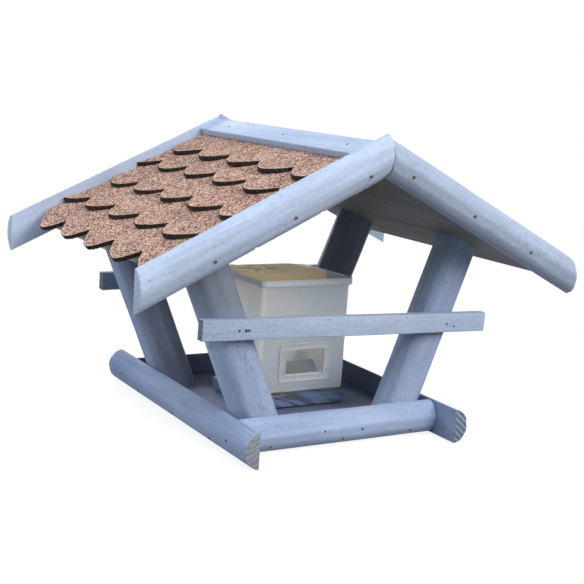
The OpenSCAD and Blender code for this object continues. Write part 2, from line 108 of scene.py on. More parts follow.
VERGE_LOW, VERGE_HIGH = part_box("verge_front_right")
RAIL_LOW, RAIL_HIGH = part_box("rail_front")
SIDE_RAIL_LOW, SIDE_RAIL_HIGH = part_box("rail_right")
PERCH_LOW, PERCH_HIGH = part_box("perch_rear")
PEDESTAL_LOW, PEDESTAL_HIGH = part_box("pedestal")
BOX_LOW, BOX_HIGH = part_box("feed_box")
LID_LOW, LID_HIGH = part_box("feed_box_lid")
BOX_SIZE, BOX_MIDDLE = BOX_HIGH - BOX_LOW, (BOX_HIGH + BOX_LOW) / 2


def length(name, description, default):
    """A size in metres for the sidebar."""
    return FloatProperty(name=name, description=description, default=default, unit="LENGTH", precision=5)


def colour(name, description, default):
    """A linear colour for the sidebar."""
    return FloatVectorProperty(name=name, description=description, default=default, subtype="COLOR",
                               size=3, min=0.0, max=1.0)


def angle(name, description, degrees):
    """An angle for the sidebar, given in degrees."""
    return FloatProperty(name=name, description=description, default=math.radians(degrees),
                         subtype="ANGLE", unit="ROTATION")


def power(name, description, default):
    """The power of a lamp for the sidebar."""
    return FloatProperty(name=name, description=description, default=default, min=0.0, unit="POWER")


class FeederRoofSizes(bpy.types.PropertyGroup):
    """Sizes of the roof, down the slope from the ridge"""

    pitch: angle("Pitch", "Slope of the roof", 25.7)
    tip_x: length("Half width", "Ridge to verge tip, level", VERGE_HIGH.x)
    tip_z: length("Tip height", "Verge tips above the table", VERGE_LOW.z)
    half_length: length("Half length", "Middle of the ridge to the back of a verge log", -VERGE_HIGH.y)
    verge_height: length("Verge height", "Plumb height of a verge log", 0.048)
    mitre_gap: length("Mitre gap", "Gap in the verge mitres", 0.0009)
    verge_bulge: length("Verge bulge", "How far a verge log stands out", VERGE_HIGH.y - VERGE_LOW.y)
    deck_thickness: length("Deck thickness", "Thickness of a deck board", 0.0205)
    eave_tip: length("Eave tips", "Ridge to the tips of the eave course before its trim", 0.29635)
    top_tip: length("Top tips", "Ridge to the tips of the top course", 0.0815)
    top_step: length("Top step", "Fourth course to the top course", 0.0430)
    overlap: length("Overlap", "How far a course reaches under the next", 0.0495)
    shingle_thickness: length("Shingle thickness", "Thickness of the felt", 0.0036)
    felt_edge: length("Felt edge", "Height of a tab's cut edge", 0.0052)
    eave_trim: length("Eave trim", "How much the eave tabs are cut back", 0.0020)
    eave_sag: length("Eave sag", "How far the tips of the eave tabs hang down", 0.0085)
    eave_setback: length("Eave setback", "Deck's eave edge to the verge tips, level", 0.060)
    tab_width: length("Tab width", "Width of a tab", 0.080)
    tab_depth: length("Tab depth", "Depth of a tab's rounded end", 0.024)
    tab_point: FloatProperty(name="Tab point", description="Roundness of a tab's end, 1 is a plain point",
                             default=1.7, min=1.0, max=4.0)
    tab_curl: length("Tab curl", "How far a tab's tip lifts", 0.0032)
    tab_ragged: length("Ragged edge", "Unevenness of the cut along the tabs", 0.0009)
    strip_width: length("Strip width", "Width of a ridge strip's upper face", 0.035)
    strip_thickness: length("Strip thickness", "Thickness of a ridge strip", 0.009)


class FeederWoodSizes(bpy.types.PropertyGroup):
    """Sizes of the logs, laths and boards"""

    rail_height: length("Rail height", "Height of a rail", RAIL_HIGH.z - RAIL_LOW.z)
    rail_bulge: length("Rail bulge", "How far a rail stands out", RAIL_HIGH.y - RAIL_LOW.y)
    tray_x: length("Tray half width", "Middle to the side rails", SIDE_RAIL_LOW.x)
    tray_y: length("Tray half length", "Middle to the front rail", -RAIL_HIGH.y)
    side_length: length("Side rail length", "Length of a side rail", SIDE_RAIL_HIGH.y - SIDE_RAIL_LOW.y)
    floor_thickness: length("Floor thickness", "Thickness of the floor board", 0.014)
    post_diameter: length("Post diameter", "Diameter of a post", 0.053)
    post_lean: angle("Post lean", "Outward lean of a post", 21.3)
    post_gap: length("Post gap", "Post to the upper edge of the side rail", 0.003)
    perch_length: length("Perch length", "Length of a perch lath", PERCH_HIGH.x - PERCH_LOW.x)
    perch_extra: length("Perch ends", "How much longer the front lath is, and the rear shorter", 0.0027)
    perch_height: length("Perch height", "Height of the front lath", 0.02435)
    perch_lift: length("Perch lift", "How far the front lath sits above its plain place", 0.0012)
    rear_lift: length("Rear lift", "How far the rear lath sits above its plain place", 0.0054)
    perch_slant: angle("Perch slant", "Slant of the front lath", 1.564)
    rebate: length("Rebate", "How far the foot of the pedestal board stays back", 0.007)
    rebate_height: length("Rebate height", "Height of the foot of the pedestal board", 0.0030)
    flat_depth: length("Flats", "Deepest flat that the drawknife left on a log", 0.0028)
    log_edge: length("Log edges", "Rounding of the sawn edges of a log", 0.0016)
    board_edge: length("Board edges", "Rounding of the edges of laths and boards", 0.0011)


class FeederBoxSizes(bpy.types.PropertyGroup):
    """Sizes of the feed box, its window frame and its lid"""

    height: length("Box height", "Height of the box without its lid", BOX_HIGH.z - BOX_LOW.z)
    taper: length("Box taper", "How far the front, rear and left sides draw in towards the base", 0.0012)
    wall: length("Box wall", "Thickness of the walls", 0.0018)
    corner: length("Box corner", "Radius of the upright corners", 0.007)
    foot_round: length("Foot rounding", "Rounding of the edges round the base", 0.0022)
    window_width: length("Window width", "Width of the feeding window", 0.058)
    window_height: length("Window height", "Height of the feeding window", 0.035)
    window_x: length("Window place", "Middle of the front to the middle of the window", 0.0025)
    window_sill: length("Window sill", "Base of the box to the sill", 0.0225)
    frame_side: length("Frame sides", "Width of the frame's side borders", 0.010)
    frame_edge: length("Frame edges", "Width of the frame's upper and lower borders", 0.008)
    frame_thickness: length("Frame thickness", "Thickness of the frame", 0.0024)
    frame_rim: length("Frame rims", "Width of the raised rims of the frame", 0.0013)
    frame_groove: length("Frame groove", "Depth of the frame between its rims", 0.0008)
    collar: length("Collar", "Thickness of the collar in the wall", 0.0018)
    collar_depth: length("Collar depth", "How far the collar reaches into the box", 0.0055)
    lip_gap: length("Lip gap", "How much narrower the lip behind the sill is than the window", 0.004)
    lip_depth: length("Lip depth", "Length of the lip behind the sill along its slope", 0.0222)
    lip_rise: length("Lip rise", "How far the lip climbs into the box", 0.0134)
    lip_thickness: length("Lip thickness", "Thickness of the lip", 0.0013)
    lid_flare: length("Lid flare", "How far the bead stands out past the lid's plain size", 0.0009)
    lid_droop: length("Lid droop", "How far the lid's rear right corner has sunk", 0.0038)
    lid_border: length("Lid border", "Level border round the crowned middle", 0.007)
    lid_crown: length("Lid crown", "Rise of the crowned middle", 0.0015)
    lid_wall: length("Lid wall", "Thickness of the lid's top and skirt", 0.0018)
    lid_bead: length("Lid bead", "Height of the bead round the lid's top", 0.0094)
    bead_step: length("Bead step", "How far the bead stands out over the skirt", 0.0012)
    bead_round: length("Bead rounding", "Rounding of the bead's upper edge", 0.0022)
    lid_groove: length("Lid groove", "Lid's top to the groove in its bead", 0.0036)
    groove_width: length("Groove width", "Width of the groove in the bead", 0.0014)
    groove_depth: length("Groove depth", "Depth of the groove in the bead", 0.0005)
    clip_slot: length("Clip slots", "Length of the slots over the frame's clips", 0.006)


class FeederColours(bpy.types.PropertyGroup):
    """Colours of the stain, the shingles, the plastic and the nails"""

    stain: colour("Stain", "Lavender blue stain on the logs", (0.375, 0.455, 0.625))
    stain_deep: colour("Deep stain", "Stain where it is thick", (0.255, 0.325, 0.500))
    stain_pale: colour("Pale stain", "Stain on the verge logs and ridge strips", (0.450, 0.530, 0.690))
    bare_wood: colour("Bare wood", "Weathered wood where the stain is thin", (0.470, 0.450, 0.415))
    # Painted shade: the greyer tone high on the front left post stands for the roof's shade
    painted_post_shade: colour("Weathered", "Greyed stain high on a post", (0.205, 0.232, 0.275))
    speck: colour("Specks", "Dark pores and scratches", (0.060, 0.065, 0.090))
    sawn_end: colour("Sawn end", "Raw wood at the sawn ends", (0.250, 0.272, 0.290))
    saw_line: colour("Saw lines", "Lighter lines that the saw left", (0.430, 0.450, 0.460))
    deck_stain: colour("Deck", "Thin stain on the deck boards", (0.340, 0.350, 0.365))
    # Painted shade under the ridge on the deck boards
    deck_ridge_shade: colour("Deck at the ridge", "Darkened deck boards under the ridge", (0.085, 0.085, 0.088))
    deck_joint: colour("Deck joints", "Pale wood in the joints of the deck", (0.360, 0.345, 0.310))
    tray_stain: colour("Tray", "Thin stain on the tray's floor", (0.172, 0.212, 0.318))
    granule: colour("Granules", "Salmon granules of the shingles", (0.675, 0.345, 0.250))
    granule_pale: colour("Pale granules", "Cream granules of the shingles", (1.000, 0.765, 0.635))
    granule_grey: colour("Grey granules", "Few pale grey granules of the shingles", (0.600, 0.490, 0.430))
    granule_dark: colour("Dark granules", "Brown granules of the shingles", (0.085, 0.036, 0.027))
    bitumen: colour("Bitumen", "Cut edges and backs of the shingles", (0.006, 0.006, 0.008))
    milk: colour("Milky plastic", "Walls of the feed box", (0.870, 0.870, 0.865))
    box_floor: colour("Box floor", "Dusty floor of the feed box", (0.330, 0.350, 0.380))
    straw: colour("Straw", "Crowned middle of the lid", (0.750, 0.585, 0.305))
    # Painted reflection: dark grey on the lid's rear right corner for the dark deck reflected in it
    lid_dark_reflection: colour("Lid grey", "Bare corner of the lid", (0.330, 0.350, 0.395))
    straw_brown: colour("Straw mottling", "Brown marks on the lid", (0.400, 0.255, 0.120))
    nail_steel: colour("Nails", "Dull steel of the nails", (0.060, 0.062, 0.070))
    rust: colour("Rust", "Rust on the nails", (0.050, 0.034, 0.028))


class FeederStage(bpy.types.PropertyGroup):
    """Lamps and floor"""

    key_power: power("Key", "Power of the large lamp at the front right", 90.0)
    sky_power: power("Sky", "Power of the large lamp overhead", 80.0)
    fill_power: power("Fill", "Power of the soft lamp at the left", 62.0)
    back_power: power("Back", "Power of the lamp low behind the house", 55.0)
    ambient: FloatProperty(name="Ambient", description="Light from all round", default=0.09, min=0.0)
    ambient_colour: colour("Ambient colour", "Colour of the light from all round", (0.86, 0.92, 1.0))
    floor_colour: colour("Floor", "Colour that the floor throws back on the house", (0.23, 0.23, 0.23))


def sizes(group):
    """One of the property groups on the scene."""
    return getattr(bpy.context.scene, "feeder_" + group)


def ridge_height():
    """Height of the line in which the undersides of the two deck slopes meet."""
    roof = sizes("roof")
    return roof.tip_z + roof.tip_x * math.tan(roof.pitch)


def on_slope(side, down, across, up):
    """A point on a roof slope: down from the ridge, across along it and up from the deck's underside."""
    pitch = sizes("roof").pitch
    return Vector((
        side * (down * math.cos(pitch) + up * math.sin(pitch)),
        across,
        ridge_height() - down * math.sin(pitch) + up * math.cos(pitch),
    ))


def corners():
    """Name, side and row of the four corners of the house."""
    for side_name, side in SIDES.items():
        for row_name, row in ROWS.items():
            yield row_name + "_" + side_name, side, row


def course_step():
    """Distance from one course of shingles to the next."""
    roof = sizes("roof")
    return (roof.eave_tip - roof.top_tip - roof.top_step) / (COURSES - 2)


def course_tilt():
    """How far a course tilts off the deck, lying on the one below it."""
    return math.asin(sizes("roof").shingle_thickness / course_step())


def course_start(k):
    """Distance down the slope at which the underside of a course meets the deck."""
    roof = sizes("roof")
    return roof.eave_tip - k * course_step() - roof.overlap


def course_tip(k):
    """Distance down the slope of the tips of a course."""
    roof = sizes("roof")
    if k == COURSES:
        return roof.top_tip
    return roof.eave_tip - (k - 1) * course_step() - (roof.eave_trim if k == 1 else 0.0)


# Modelling helpers

def clear_selection():
    """Object mode with nothing selected."""
    if bpy.context.mode != "OBJECT":
        bpy.ops.object.mode_set(mode="OBJECT")
    bpy.ops.object.select_all(action="DESELECT")


def take(piece):
    """Select one piece alone."""
    clear_selection()
    piece.select_set(True)
    bpy.context.view_layer.objects.active = piece


def edit(piece):
    """Open a piece in edit mode with all of it selected."""
    take(piece)
    bpy.ops.object.mode_set(mode="EDIT")
    bpy.ops.mesh.select_all(action="SELECT")


def pick(piece, kind, test):
    """Select the edges or faces of the open piece for which a test holds."""
    bpy.ops.mesh.select_mode(type=kind)
    bpy.ops.mesh.select_all(action="DESELECT")
    mesh = bmesh.from_edit_mesh(piece.data)
    for part in mesh.edges if kind == "EDGE" else mesh.faces:
        part.select_set(bool(test(part)))
    bmesh.update_edit_mesh(piece.data)


def run(edge):
    """The vector along an edge."""
    return edge.verts[1].co - edge.verts[0].co


def cut(point, normal):
    """Saw the open piece off at a plane, and close the cut."""
    bpy.ops.mesh.select_all(action="SELECT")
    bpy.ops.mesh.bisect(plane_co=point, plane_no=normal, use_fill=True, clear_outer=True, threshold=1e-6)


def score(*heights):
    """Draw level lines round the open piece."""
    for height in heights:
        bpy.ops.mesh.select_all(action="SELECT")
        bpy.ops.mesh.bisect(plane_co=(0.0, 0.0, height), plane_no=(0.0, 0.0, 1.0))


def draw_in(size, step):
    """Draw what is selected in from all four sides by a step."""
    bpy.ops.transform.resize(value=(1 - 2 * step / size.x, 1 - 2 * step / size.y, 1.0),
                             center_override=(0.0, 0.0, 0.0))


def bevel(width, segments):
    """Round the selected edges of the open piece."""
    bpy.ops.mesh.bevel(offset=width, segments=segments, affect="EDGES", offset_type="OFFSET")


def settle(piece, turn=(0.0, 0.0, 0.0), place=(0.0, 0.0, 0.0)):
    """Turn a piece, set it in its place, and make both part of its mesh."""
    piece.rotation_euler = turn
    piece.location = place
    take(piece)
    bpy.ops.object.transform_apply(location=True, rotation=True, scale=True)
    return piece


def use_modifier(piece, kind, **settings):
    """Add a modifier to a piece and apply it."""
    take(piece)
    bpy.ops.object.modifier_add(type=kind)
    modifier = piece.modifiers[-1]
    for key, value in settings.items():
        setattr(modifier, key, value)
    bpy.ops.object.modifier_apply(modifier=modifier.name)


def thicken(piece, thickness, even=True, **settings):
    """Give the faces of a piece their thickness, inwards."""
    use_modifier(piece, "SOLIDIFY", thickness=thickness, offset=-1.0, use_even_offset=even, **settings)


def carve(tool, *pieces):
    """Cut the shape of a tool out of pieces, and take the tool away."""
    for piece in pieces:
        use_modifier(piece, "BOOLEAN", operation="DIFFERENCE", object=tool, solver="EXACT")
    bpy.data.objects.remove(tool)


def join(piece, *others):
    """Make other pieces part of one."""
    take(piece)
    for other in others:
        other.select_set(True)
    bpy.ops.object.join()


def round_edges(piece, width, segments=3, angle=40.0):
    """Round the edges of a piece that are sharper than an angle."""
    use_modifier(piece, "BEVEL", width=width, segments=segments, limit_method="ANGLE",
                 angle_limit=math.radians(angle), use_clamp_overlap=True)


def block(width, depth, height, place=(0.0, 0.0, 0.0)):
    """A block to work from, centred on a place."""
    clear_selection()
    bpy.ops.mesh.primitive_cube_add(size=1.0)
    made = bpy.context.object
    made.scale = (width, depth, height)
    return settle(made, place=place)


def drawn_log(radius, long, rings, seed, flats=7, share=0.5):
    """A log along X with the soft flats that a drawknife leaves on it."""
    dice = random.Random(seed)
    depth = sizes("wood").flat_depth * share
    knife = [((i + dice.uniform(-0.35, 0.35)) * math.tau / flats, dice.uniform(0.5, 1.0) * depth)
             for i in range(flats)]
    clear_selection()
    bpy.ops.mesh.primitive_cylinder_add(vertices=LOG_SIDES, radius=radius, depth=long,
                                        rotation=(0.0, math.pi / 2, 0.0))
    log = bpy.context.object
    bpy.ops.object.transform_apply(location=True, rotation=True, scale=True)
    edit(log)
    pick(log, "EDGE", lambda e: abs(run(e).x) > long / 2)
    bpy.ops.mesh.subdivide(number_cuts=rings)
    mesh = bmesh.from_edit_mesh(log.data)
    for v in mesh.verts:
        angle = math.atan2(v.co.z, v.co.y)
        reach = radius
        for i, (middle, sunk) in enumerate(knife):
            sway = 0.12 * noise.noise((v.co.x * 5.0, i * 3.1, seed))
            sink = sunk * (0.7 + 0.5 * noise.noise((v.co.x * 8.0, seed, i * 1.7)))
            facing = math.cos(angle - middle - sway)
            if facing > 0.5:
                reach = min(reach, (radius - sink) / facing)
        grip = noise.noise((v.co.x * 14.0 + seed, math.cos(angle) * 1.6, math.sin(angle) * 1.6))
        reach -= 0.0003 * (0.5 + 0.5 * grip)
        v.co.y *= reach / radius
        v.co.z *= reach / radius
    bmesh.update_edit_mesh(log.data)
    return log


def half_log(long, height, bulge, rings, seed):
    """Half a log along X, its sawn back on Y = 0 and its round side towards -Y."""
    radius = (height * height / 4 + bulge * bulge) / (2 * bulge)
    log = drawn_log(radius, long, rings, seed)
    bpy.ops.mesh.select_all(action="SELECT")
    bpy.ops.transform.translate(value=(0.0, radius - bulge, 0.0))
    cut((0.0, 0.0, 0.0), (0.0, 1.0, 0.0))
    return log


def lath(width, depth, height, cuts, wander, seed):
    """A lath along X, its edges eased and its faces a little uneven."""
    made = block(width, depth, height)
    round_edges(made, sizes("wood").board_edge)
    edit(made)
    pick(made, "EDGE", lambda e: abs(run(e).x) > width / 2)
    bpy.ops.mesh.subdivide(number_cuts=cuts)
    mesh = bmesh.from_edit_mesh(made.data)
    for v in mesh.verts:
        v.co.z += wander * noise.noise((v.co.x * 9.0, v.co.y * 40.0, seed))
        v.co.y += wander * 0.5 * noise.noise((v.co.x * 9.0, seed, v.co.z * 40.0))
    bmesh.update_edit_mesh(made.data)
    clear_selection()
    return made


def finish_piece(piece, node, word, finishes, body="house", smooth=35.0):
    """Smooth a piece, name it after its node, give it its finishes, and let it ride in the node's place."""
    take(piece)
    bpy.ops.object.shade_smooth_by_angle(angle=math.radians(smooth))
    piece.name = piece.data.name = node + "_" + word
    for made in finishes:
        piece.data.materials.append(made)
    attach(piece, body)
    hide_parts(node)


def finish_node(name, made):
    """Give a CAD node that stays in view its finish."""
    for holder in NODES[name].material_slots:
        holder.material = made
    if not NODES[name].material_slots:
        raise RuntimeError(name + " has no material to replace")


# Materials

def toned(tone, factor, limit=1.0):
    """A colour made lighter or darker by one factor, or by one for each channel."""
    factors = (factor,) * 3 if isinstance(factor, (int, float)) else factor
    return [min(limit, c * k) for c, k in zip(tone, factors)]


class Nodes:
    """A node tree, and the steps that every finish is built from."""

    def __init__(self, tree):
        self.tree = tree

    def add(self, kind, links=None, values=None, **settings):
        """A node with its settings, the values of its sockets and the links into them."""
        made = self.tree.nodes.new(kind)
        for key, value in settings.items():
            setattr(made, key, value)
        for key, value in (values or {}).items():
            made.inputs[key].default_value = value
        for key, socket in (links or {}).items():
            self.tree.links.new(socket, made.inputs[key])
        return made

    def reckon(self, operation, first, second=None):
        """The output of a Math node on sockets or numbers."""
        made = self.add("ShaderNodeMath", operation=operation)
        for i, part in enumerate((first, second)):
            if isinstance(part, (int, float)):
                made.inputs[i].default_value = part
            elif part is not None:
                self.tree.links.new(part, made.inputs[i])
        return made.outputs[0]

    def plus(self, first, second):
        """The sum of two values."""
        return self.reckon("ADD", first, second)

    def minus(self, first, second):
        """The first value less the second."""
        return self.reckon("SUBTRACT", first, second)

    def times(self, first, second):
        """The product of two values."""
        return self.reckon("MULTIPLY", first, second)

    def larger(self, first, second):
        """The larger of two values."""
        return self.reckon("MAXIMUM", first, second)

    def size(self, value):
        """A value without its sign."""
        return self.reckon("ABSOLUTE", value)

    def blend(self, share, first, second, mode="MIX"):
        """The output of a colour Mix node on sockets or colours."""
        made = self.add("ShaderNodeMix", data_type="RGBA", blend_type=mode, clamp_factor=True)
        for i, part in ((0, share), (6, first), (7, second)):
            if isinstance(part, bpy.types.NodeSocket):
                self.tree.links.new(part, made.inputs[i])
            elif i == 0:
                made.inputs[i].default_value = part
            else:
                made.inputs[i].default_value = (*part[:3], 1.0)
        return made.outputs[2]

    def tint(self, tone, tint):
        """A tone multiplied by another."""
        return self.blend(1.0, tone, tint, "MULTIPLY")

    def vary(self, tone, share, first, second):
        """A tone multiplied by one tint where the share is 0 and by another where it is 1."""
        return self.tint(tone, self.blend(share, first, second))

    def step(self, value, low, high, to_low=0.0, to_high=1.0):
        """A soft step between two values."""
        made = self.add("ShaderNodeMapRange", links={"Value": value}, interpolation_type="SMOOTHSTEP",
                        values={"From Min": low, "From Max": high, "To Min": to_low, "To Max": to_high})
        return made.outputs[0]

    def noise(self, coords, scale, detail=3.0, roughness=0.55, distortion=0.0):
        """The grey output of a Noise texture."""
        made = self.add("ShaderNodeTexNoise", links={"Vector": coords}, values={
            "Scale": scale, "Detail": detail, "Roughness": roughness, "Distortion": distortion})
        return made.outputs["Fac"]

    def cells(self, coords, scale):
        """Distance to the middle of the nearest cell, and three random values of that cell."""
        made = self.add("ShaderNodeTexVoronoi", links={"Vector": coords},
                        values={"Scale": scale, "Randomness": 1.0})
        drawn = self.add("ShaderNodeSeparateColor", links={"Color": made.outputs["Color"]})
        return made.outputs["Distance"], drawn.outputs

    def placed(self, coords, turn=(0.0, 0.0, 0.0), scale=(1.0, 1.0, 1.0), place=(0.0, 0.0, 0.0)):
        """Coordinates scaled, turned and moved by a Mapping node."""
        made = self.add("ShaderNodeMapping", links={"Vector": coords}, vector_type="POINT",
                        values={"Rotation": turn, "Scale": scale, "Location": place})
        return made.outputs[0]

    def parts(self, vector):
        """The X, Y and Z of a vector."""
        return self.add("ShaderNodeSeparateXYZ", links={"Vector": vector}).outputs

    def reach(self, vector):
        """The length of a vector."""
        return self.add("ShaderNodeVectorMath", operation="LENGTH", links={0: vector}).outputs["Value"]

    def facing(self, normal, direction):
        """How far a surface faces a direction."""
        made = self.add("ShaderNodeVectorMath", operation="DOT_PRODUCT", links={0: normal},
                        values={1: Vector(direction).normalized()})
        return made.outputs["Value"]


class Finish(Nodes):
    """A material with its nodes, its shader and the place of each point on the piece."""

    def __init__(self, name):
        self.material = bpy.data.materials.new(name)
        self.material.use_nodes = True
        super().__init__(self.material.node_tree)
        self.shader = self.tree.nodes["Principled BSDF"]
        self.coords = self.add("ShaderNodeTexCoord").outputs["Object"]

    def normal(self):
        """The direction of the surface."""
        return self.add("ShaderNodeNewGeometry").outputs["Normal"]

    def give(self, **sockets):
        """Set sockets of the shader, to a number or from a node; _ stands for a space in a name."""
        for key, value in sockets.items():
            socket = self.shader.inputs[key.replace("_", " ")]
            if isinstance(value, bpy.types.NodeSocket):
                self.tree.links.new(value, socket)
            else:
                socket.default_value = value

    def bump(self, height, strength, distance):
        """Give the shader a bump from a height."""
        made = self.add("ShaderNodeBump", links={"Height": height},
                        values={"Strength": strength, "Distance": distance})
        self.give(Normal=made.outputs[0])


def stained_wood(name, grain, seed, stain, deep, bare_share=0.5, marks=(), shade=1.0, end_tone=1.0,
                 end_stain=0.0, bare=None, painted_shading=None, shading_tone=None, patchy=False, bevel_tone=None,
                 painted_side_light=None, end_pair=None, saw_turn=(0.25, 0.35, 0.1), saw_sway=6.0, saw_from=0.6,
                 painted_shadow=None):
    """Wood under a thin stain: wash, grain, bare streaks and pores along the grain, sawn ends across it."""
    colours, paint = sizes("colours"), Finish(name)
    coords = paint.coords
    stain, deep = toned(stain, shade, 0.95), toned(deep, shade, 0.95)
    turn = Vector(grain).rotation_difference(Vector((1.0, 0.0, 0.0))).to_euler()
    along = paint.placed(coords, turn=turn, place=(seed * 0.37, seed * 0.71, seed * 0.53))

    def drawn(share):
        """Coordinates drawn out along the grain."""
        return paint.placed(along, scale=(share, 1.0, 1.0))

    # The stain: its wash, the grain, fine powder and darker flecks
    broad, fine = drawn(0.30), drawn(0.045)
    wash = paint.step(paint.noise(broad, 22.0, 4.0, 0.6), 0.30, 0.68, 0.25, 1.0)
    tone = paint.blend(wash, deep, stain)
    grainy = paint.noise(fine, 520.0, 4.0, 0.65)
    rings = paint.noise(fine, 95.0, 3.0, 0.6, 0.4)
    lines = paint.plus(paint.times(grainy, 0.6), paint.times(rings, 0.4))
    tone = paint.vary(tone, paint.step(lines, 0.36, 0.64), (0.91, 0.915, 0.93), (1.05, 1.045, 1.04))
    powder = paint.noise(drawn(0.5), 620.0, 2.0, 0.7)
    tone = paint.vary(tone, paint.step(powder, 0.3, 0.7), (0.90, 0.91, 0.93), (1.08, 1.08, 1.07))
    flecks = paint.times(paint.step(paint.noise(drawn(0.4), 330.0, 2.0, 0.6), 0.54, 0.64),
                         paint.step(paint.noise(broad, 34.0, 2.0, 0.5), 0.46, 0.60, 0.15, 0.75))
    tone = paint.blend(paint.times(flecks, 0.5), tone, toned(deep, 0.62))

    # Bare streaks or patches, shakes along the grain, and pores
    thin = paint.plus(paint.noise(drawn(0.16), 105.0 if patchy else 26.0, 5.0, 0.5),
                      paint.times(paint.minus(rings, 0.5), 0.4))
    start, soft, strength = 0.68 - 0.16 * bare_share, 0.06 if patchy else 0.22, 0.9 if patchy else 0.6
    thinned = paint.step(thin, start, start + soft, 0.0, strength)
    tone = paint.blend(thinned, tone, bare or colours.bare_wood)
    shake = paint.size(paint.minus(paint.noise(drawn(0.03), 46.0, 2.0, 0.5), 0.5))
    shakes = paint.times(paint.step(shake, 0.002, 0.009, 0.2, 0.0),
                         paint.step(paint.noise(broad, 14.0, 1.0), 0.56, 0.66))
    tone = paint.blend(shakes, tone, toned(deep, 0.45))
    gap, cell = paint.cells(drawn(0.6), 230.0)
    chosen = paint.reckon("GREATER_THAN", cell[0], 0.86)
    pores = paint.times(paint.step(gap, 0.08, 0.20, 1.0, 0.0), chosen)
    tone = paint.blend(paint.times(pores, 0.5), tone, colours.speck)

    # Painted light and shade by height, a painted shadow under the perch, and nail marks, by their place
    # Painted shading by height: past a height the tone blends towards another, darker for the roof's shade
    # high on the front left post, under the ridge on the deck and towards the rear of the side rails,
    # lighter for light on the low end of the rear left verge
    if painted_shading:
        low, high, share, lean = painted_shading
        place = paint.parts(coords)
        height = paint.plus(place["Z"], paint.times(place["Y"], lean))
        height = paint.plus(height, paint.times(thin, 0.04))
        grey = paint.step(height, low + 0.02, high + 0.02, 0.0, share)
        tone = paint.blend(grey, tone, shading_tone or colours.painted_post_shade)
    # Painted shadow: a darker band just under the perch, where its shadow falls on a post
    if painted_shadow:
        low, high, dark = painted_shadow
        height = paint.parts(coords)["Z"]
        share = paint.times(paint.step(height, low, high),
                            paint.step(height, high + 0.008, high + 0.012, 1.0, 0.0))
        tone = paint.blend(share, tone, paint.tint(tone, (dark,) * 3))
    for point, size in marks:
        shift = paint.placed(coords, place=[-c for c in point])
        wobble = paint.add("ShaderNodeTexNoise", links={"Vector": coords},
                           values={"Scale": 500.0, "Detail": 2.0})
        moved = paint.add("ShaderNodeVectorMath", operation="MULTIPLY_ADD",
                          links={0: wobble.outputs["Color"], 2: shift}, values={1: (size * 1.4,) * 3})
        far = paint.reach(paint.placed(moved.outputs[0], place=(-size * 0.7,) * 3))
        tone = paint.blend(paint.step(far, size * 0.7, size, 0.95, 0.0), tone, toned(colours.speck, 0.4))

    # Sawn faces and ends by the way they face, and painted light and shade by the same
    normal = paint.normal()
    if bevel_tone:
        level = math.cos(sizes("roof").pitch)
        slanted = paint.step(paint.size(paint.plus(paint.parts(normal)["Z"], level)), 0.03, 0.06)
        tone = paint.blend(paint.times(slanted, 0.9), tone, bevel_tone)
    sawn = paint.step(paint.size(paint.facing(normal, grain)), 0.62, 0.78)
    saw = paint.add("ShaderNodeTexWave", links={"Vector": paint.placed(coords, turn=saw_turn)},
                    wave_type="BANDS", bands_direction="Z", wave_profile="SIN", values={
                        "Scale": 52.0, "Distortion": saw_sway, "Detail": 3.0, "Detail Scale": 2.0})
    saw = saw.outputs["Fac"]
    rough_end = paint.noise(coords, 240.0, 4.0, 0.7)
    plain, line = end_pair or (toned(colours.sawn_end, end_tone), toned(colours.saw_line, end_tone))
    end = paint.blend(paint.step(saw, saw_from, 0.98, 0.0, 0.75), plain, line)
    end = paint.blend(paint.step(rough_end, 0.35, 0.65, 0.35, 0.0), end, toned(deep, end_tone))
    end = paint.blend(end_stain, end, stain)
    tone = paint.blend(sawn, tone, end)
    # Painted light and shade by facing: a face turned one way is lightened, one turned away darkened
    if painted_side_light:
        side, away, toward = painted_side_light
        share = paint.step(paint.facing(normal, side), -0.9, 0.9)
        tone = paint.vary(tone, share, (away,) * 3, (toward,) * 3)

    paint.give(Base_Color=tone, Roughness=paint.step(lines, 0.3, 0.7, 0.82, 0.66), Specular_IOR_Level=0.22)
    relief = paint.minus(paint.plus(lines, paint.times(powder, 0.5)), paint.plus(pores, shakes))
    relief = paint.plus(relief, paint.times(sawn, paint.plus(saw, rough_end)))
    paint.bump(relief, 0.3, 0.0006)
    return paint.material


def granules(name):
    """Mineral granules in four tones, each a cell of its own, over the felt."""
    colours, paint = sizes("colours"), Finish(name)
    gap, cell = paint.cells(paint.coords, 560.0)
    tone = paint.blend(paint.step(cell[0], 0.10, 0.42), colours.granule_dark, colours.granule)
    tone = paint.blend(paint.step(cell[0], 0.52, 0.82), tone, colours.granule_pale)
    tone = paint.blend(paint.step(cell[2], 0.80, 0.86, 0.0, 0.7), tone, colours.granule_grey)
    patch = paint.noise(paint.coords, 34.0, 3.0, 0.6)
    tone = paint.vary(tone, paint.step(patch, 0.35, 0.65), (0.90, 0.88, 0.87), (1.08, 1.07, 1.06))
    tone = paint.blend(paint.times(paint.step(gap, 0.40, 0.70), 0.6), tone, colours.granule_dark)
    edge = paint.add("ShaderNodeAttribute", attribute_name="tab_edge").outputs["Fac"]
    crumb = paint.noise(paint.coords, 420.0, 2.0)
    fringe = paint.times(paint.step(edge, 0.0010, 0.0038, 1.0, 0.0), paint.step(crumb, 0.46, 0.56))
    tone = paint.blend(paint.times(fringe, 0.8), tone, colours.granule_pale)
    worn = paint.minus(edge, paint.times(crumb, 0.0026))
    tone = paint.blend(paint.step(worn, -0.0012, 0.0002, 0.95, 0.0), tone, colours.bitumen)
    paint.give(Base_Color=tone, Roughness=0.9, Specular_IOR_Level=0.06)
    height = paint.plus(paint.step(gap, 0.0, 0.8, 1.0, 0.0), paint.times(cell[1], 0.6))
    paint.bump(height, 1.0, 0.0012)
    return paint.material


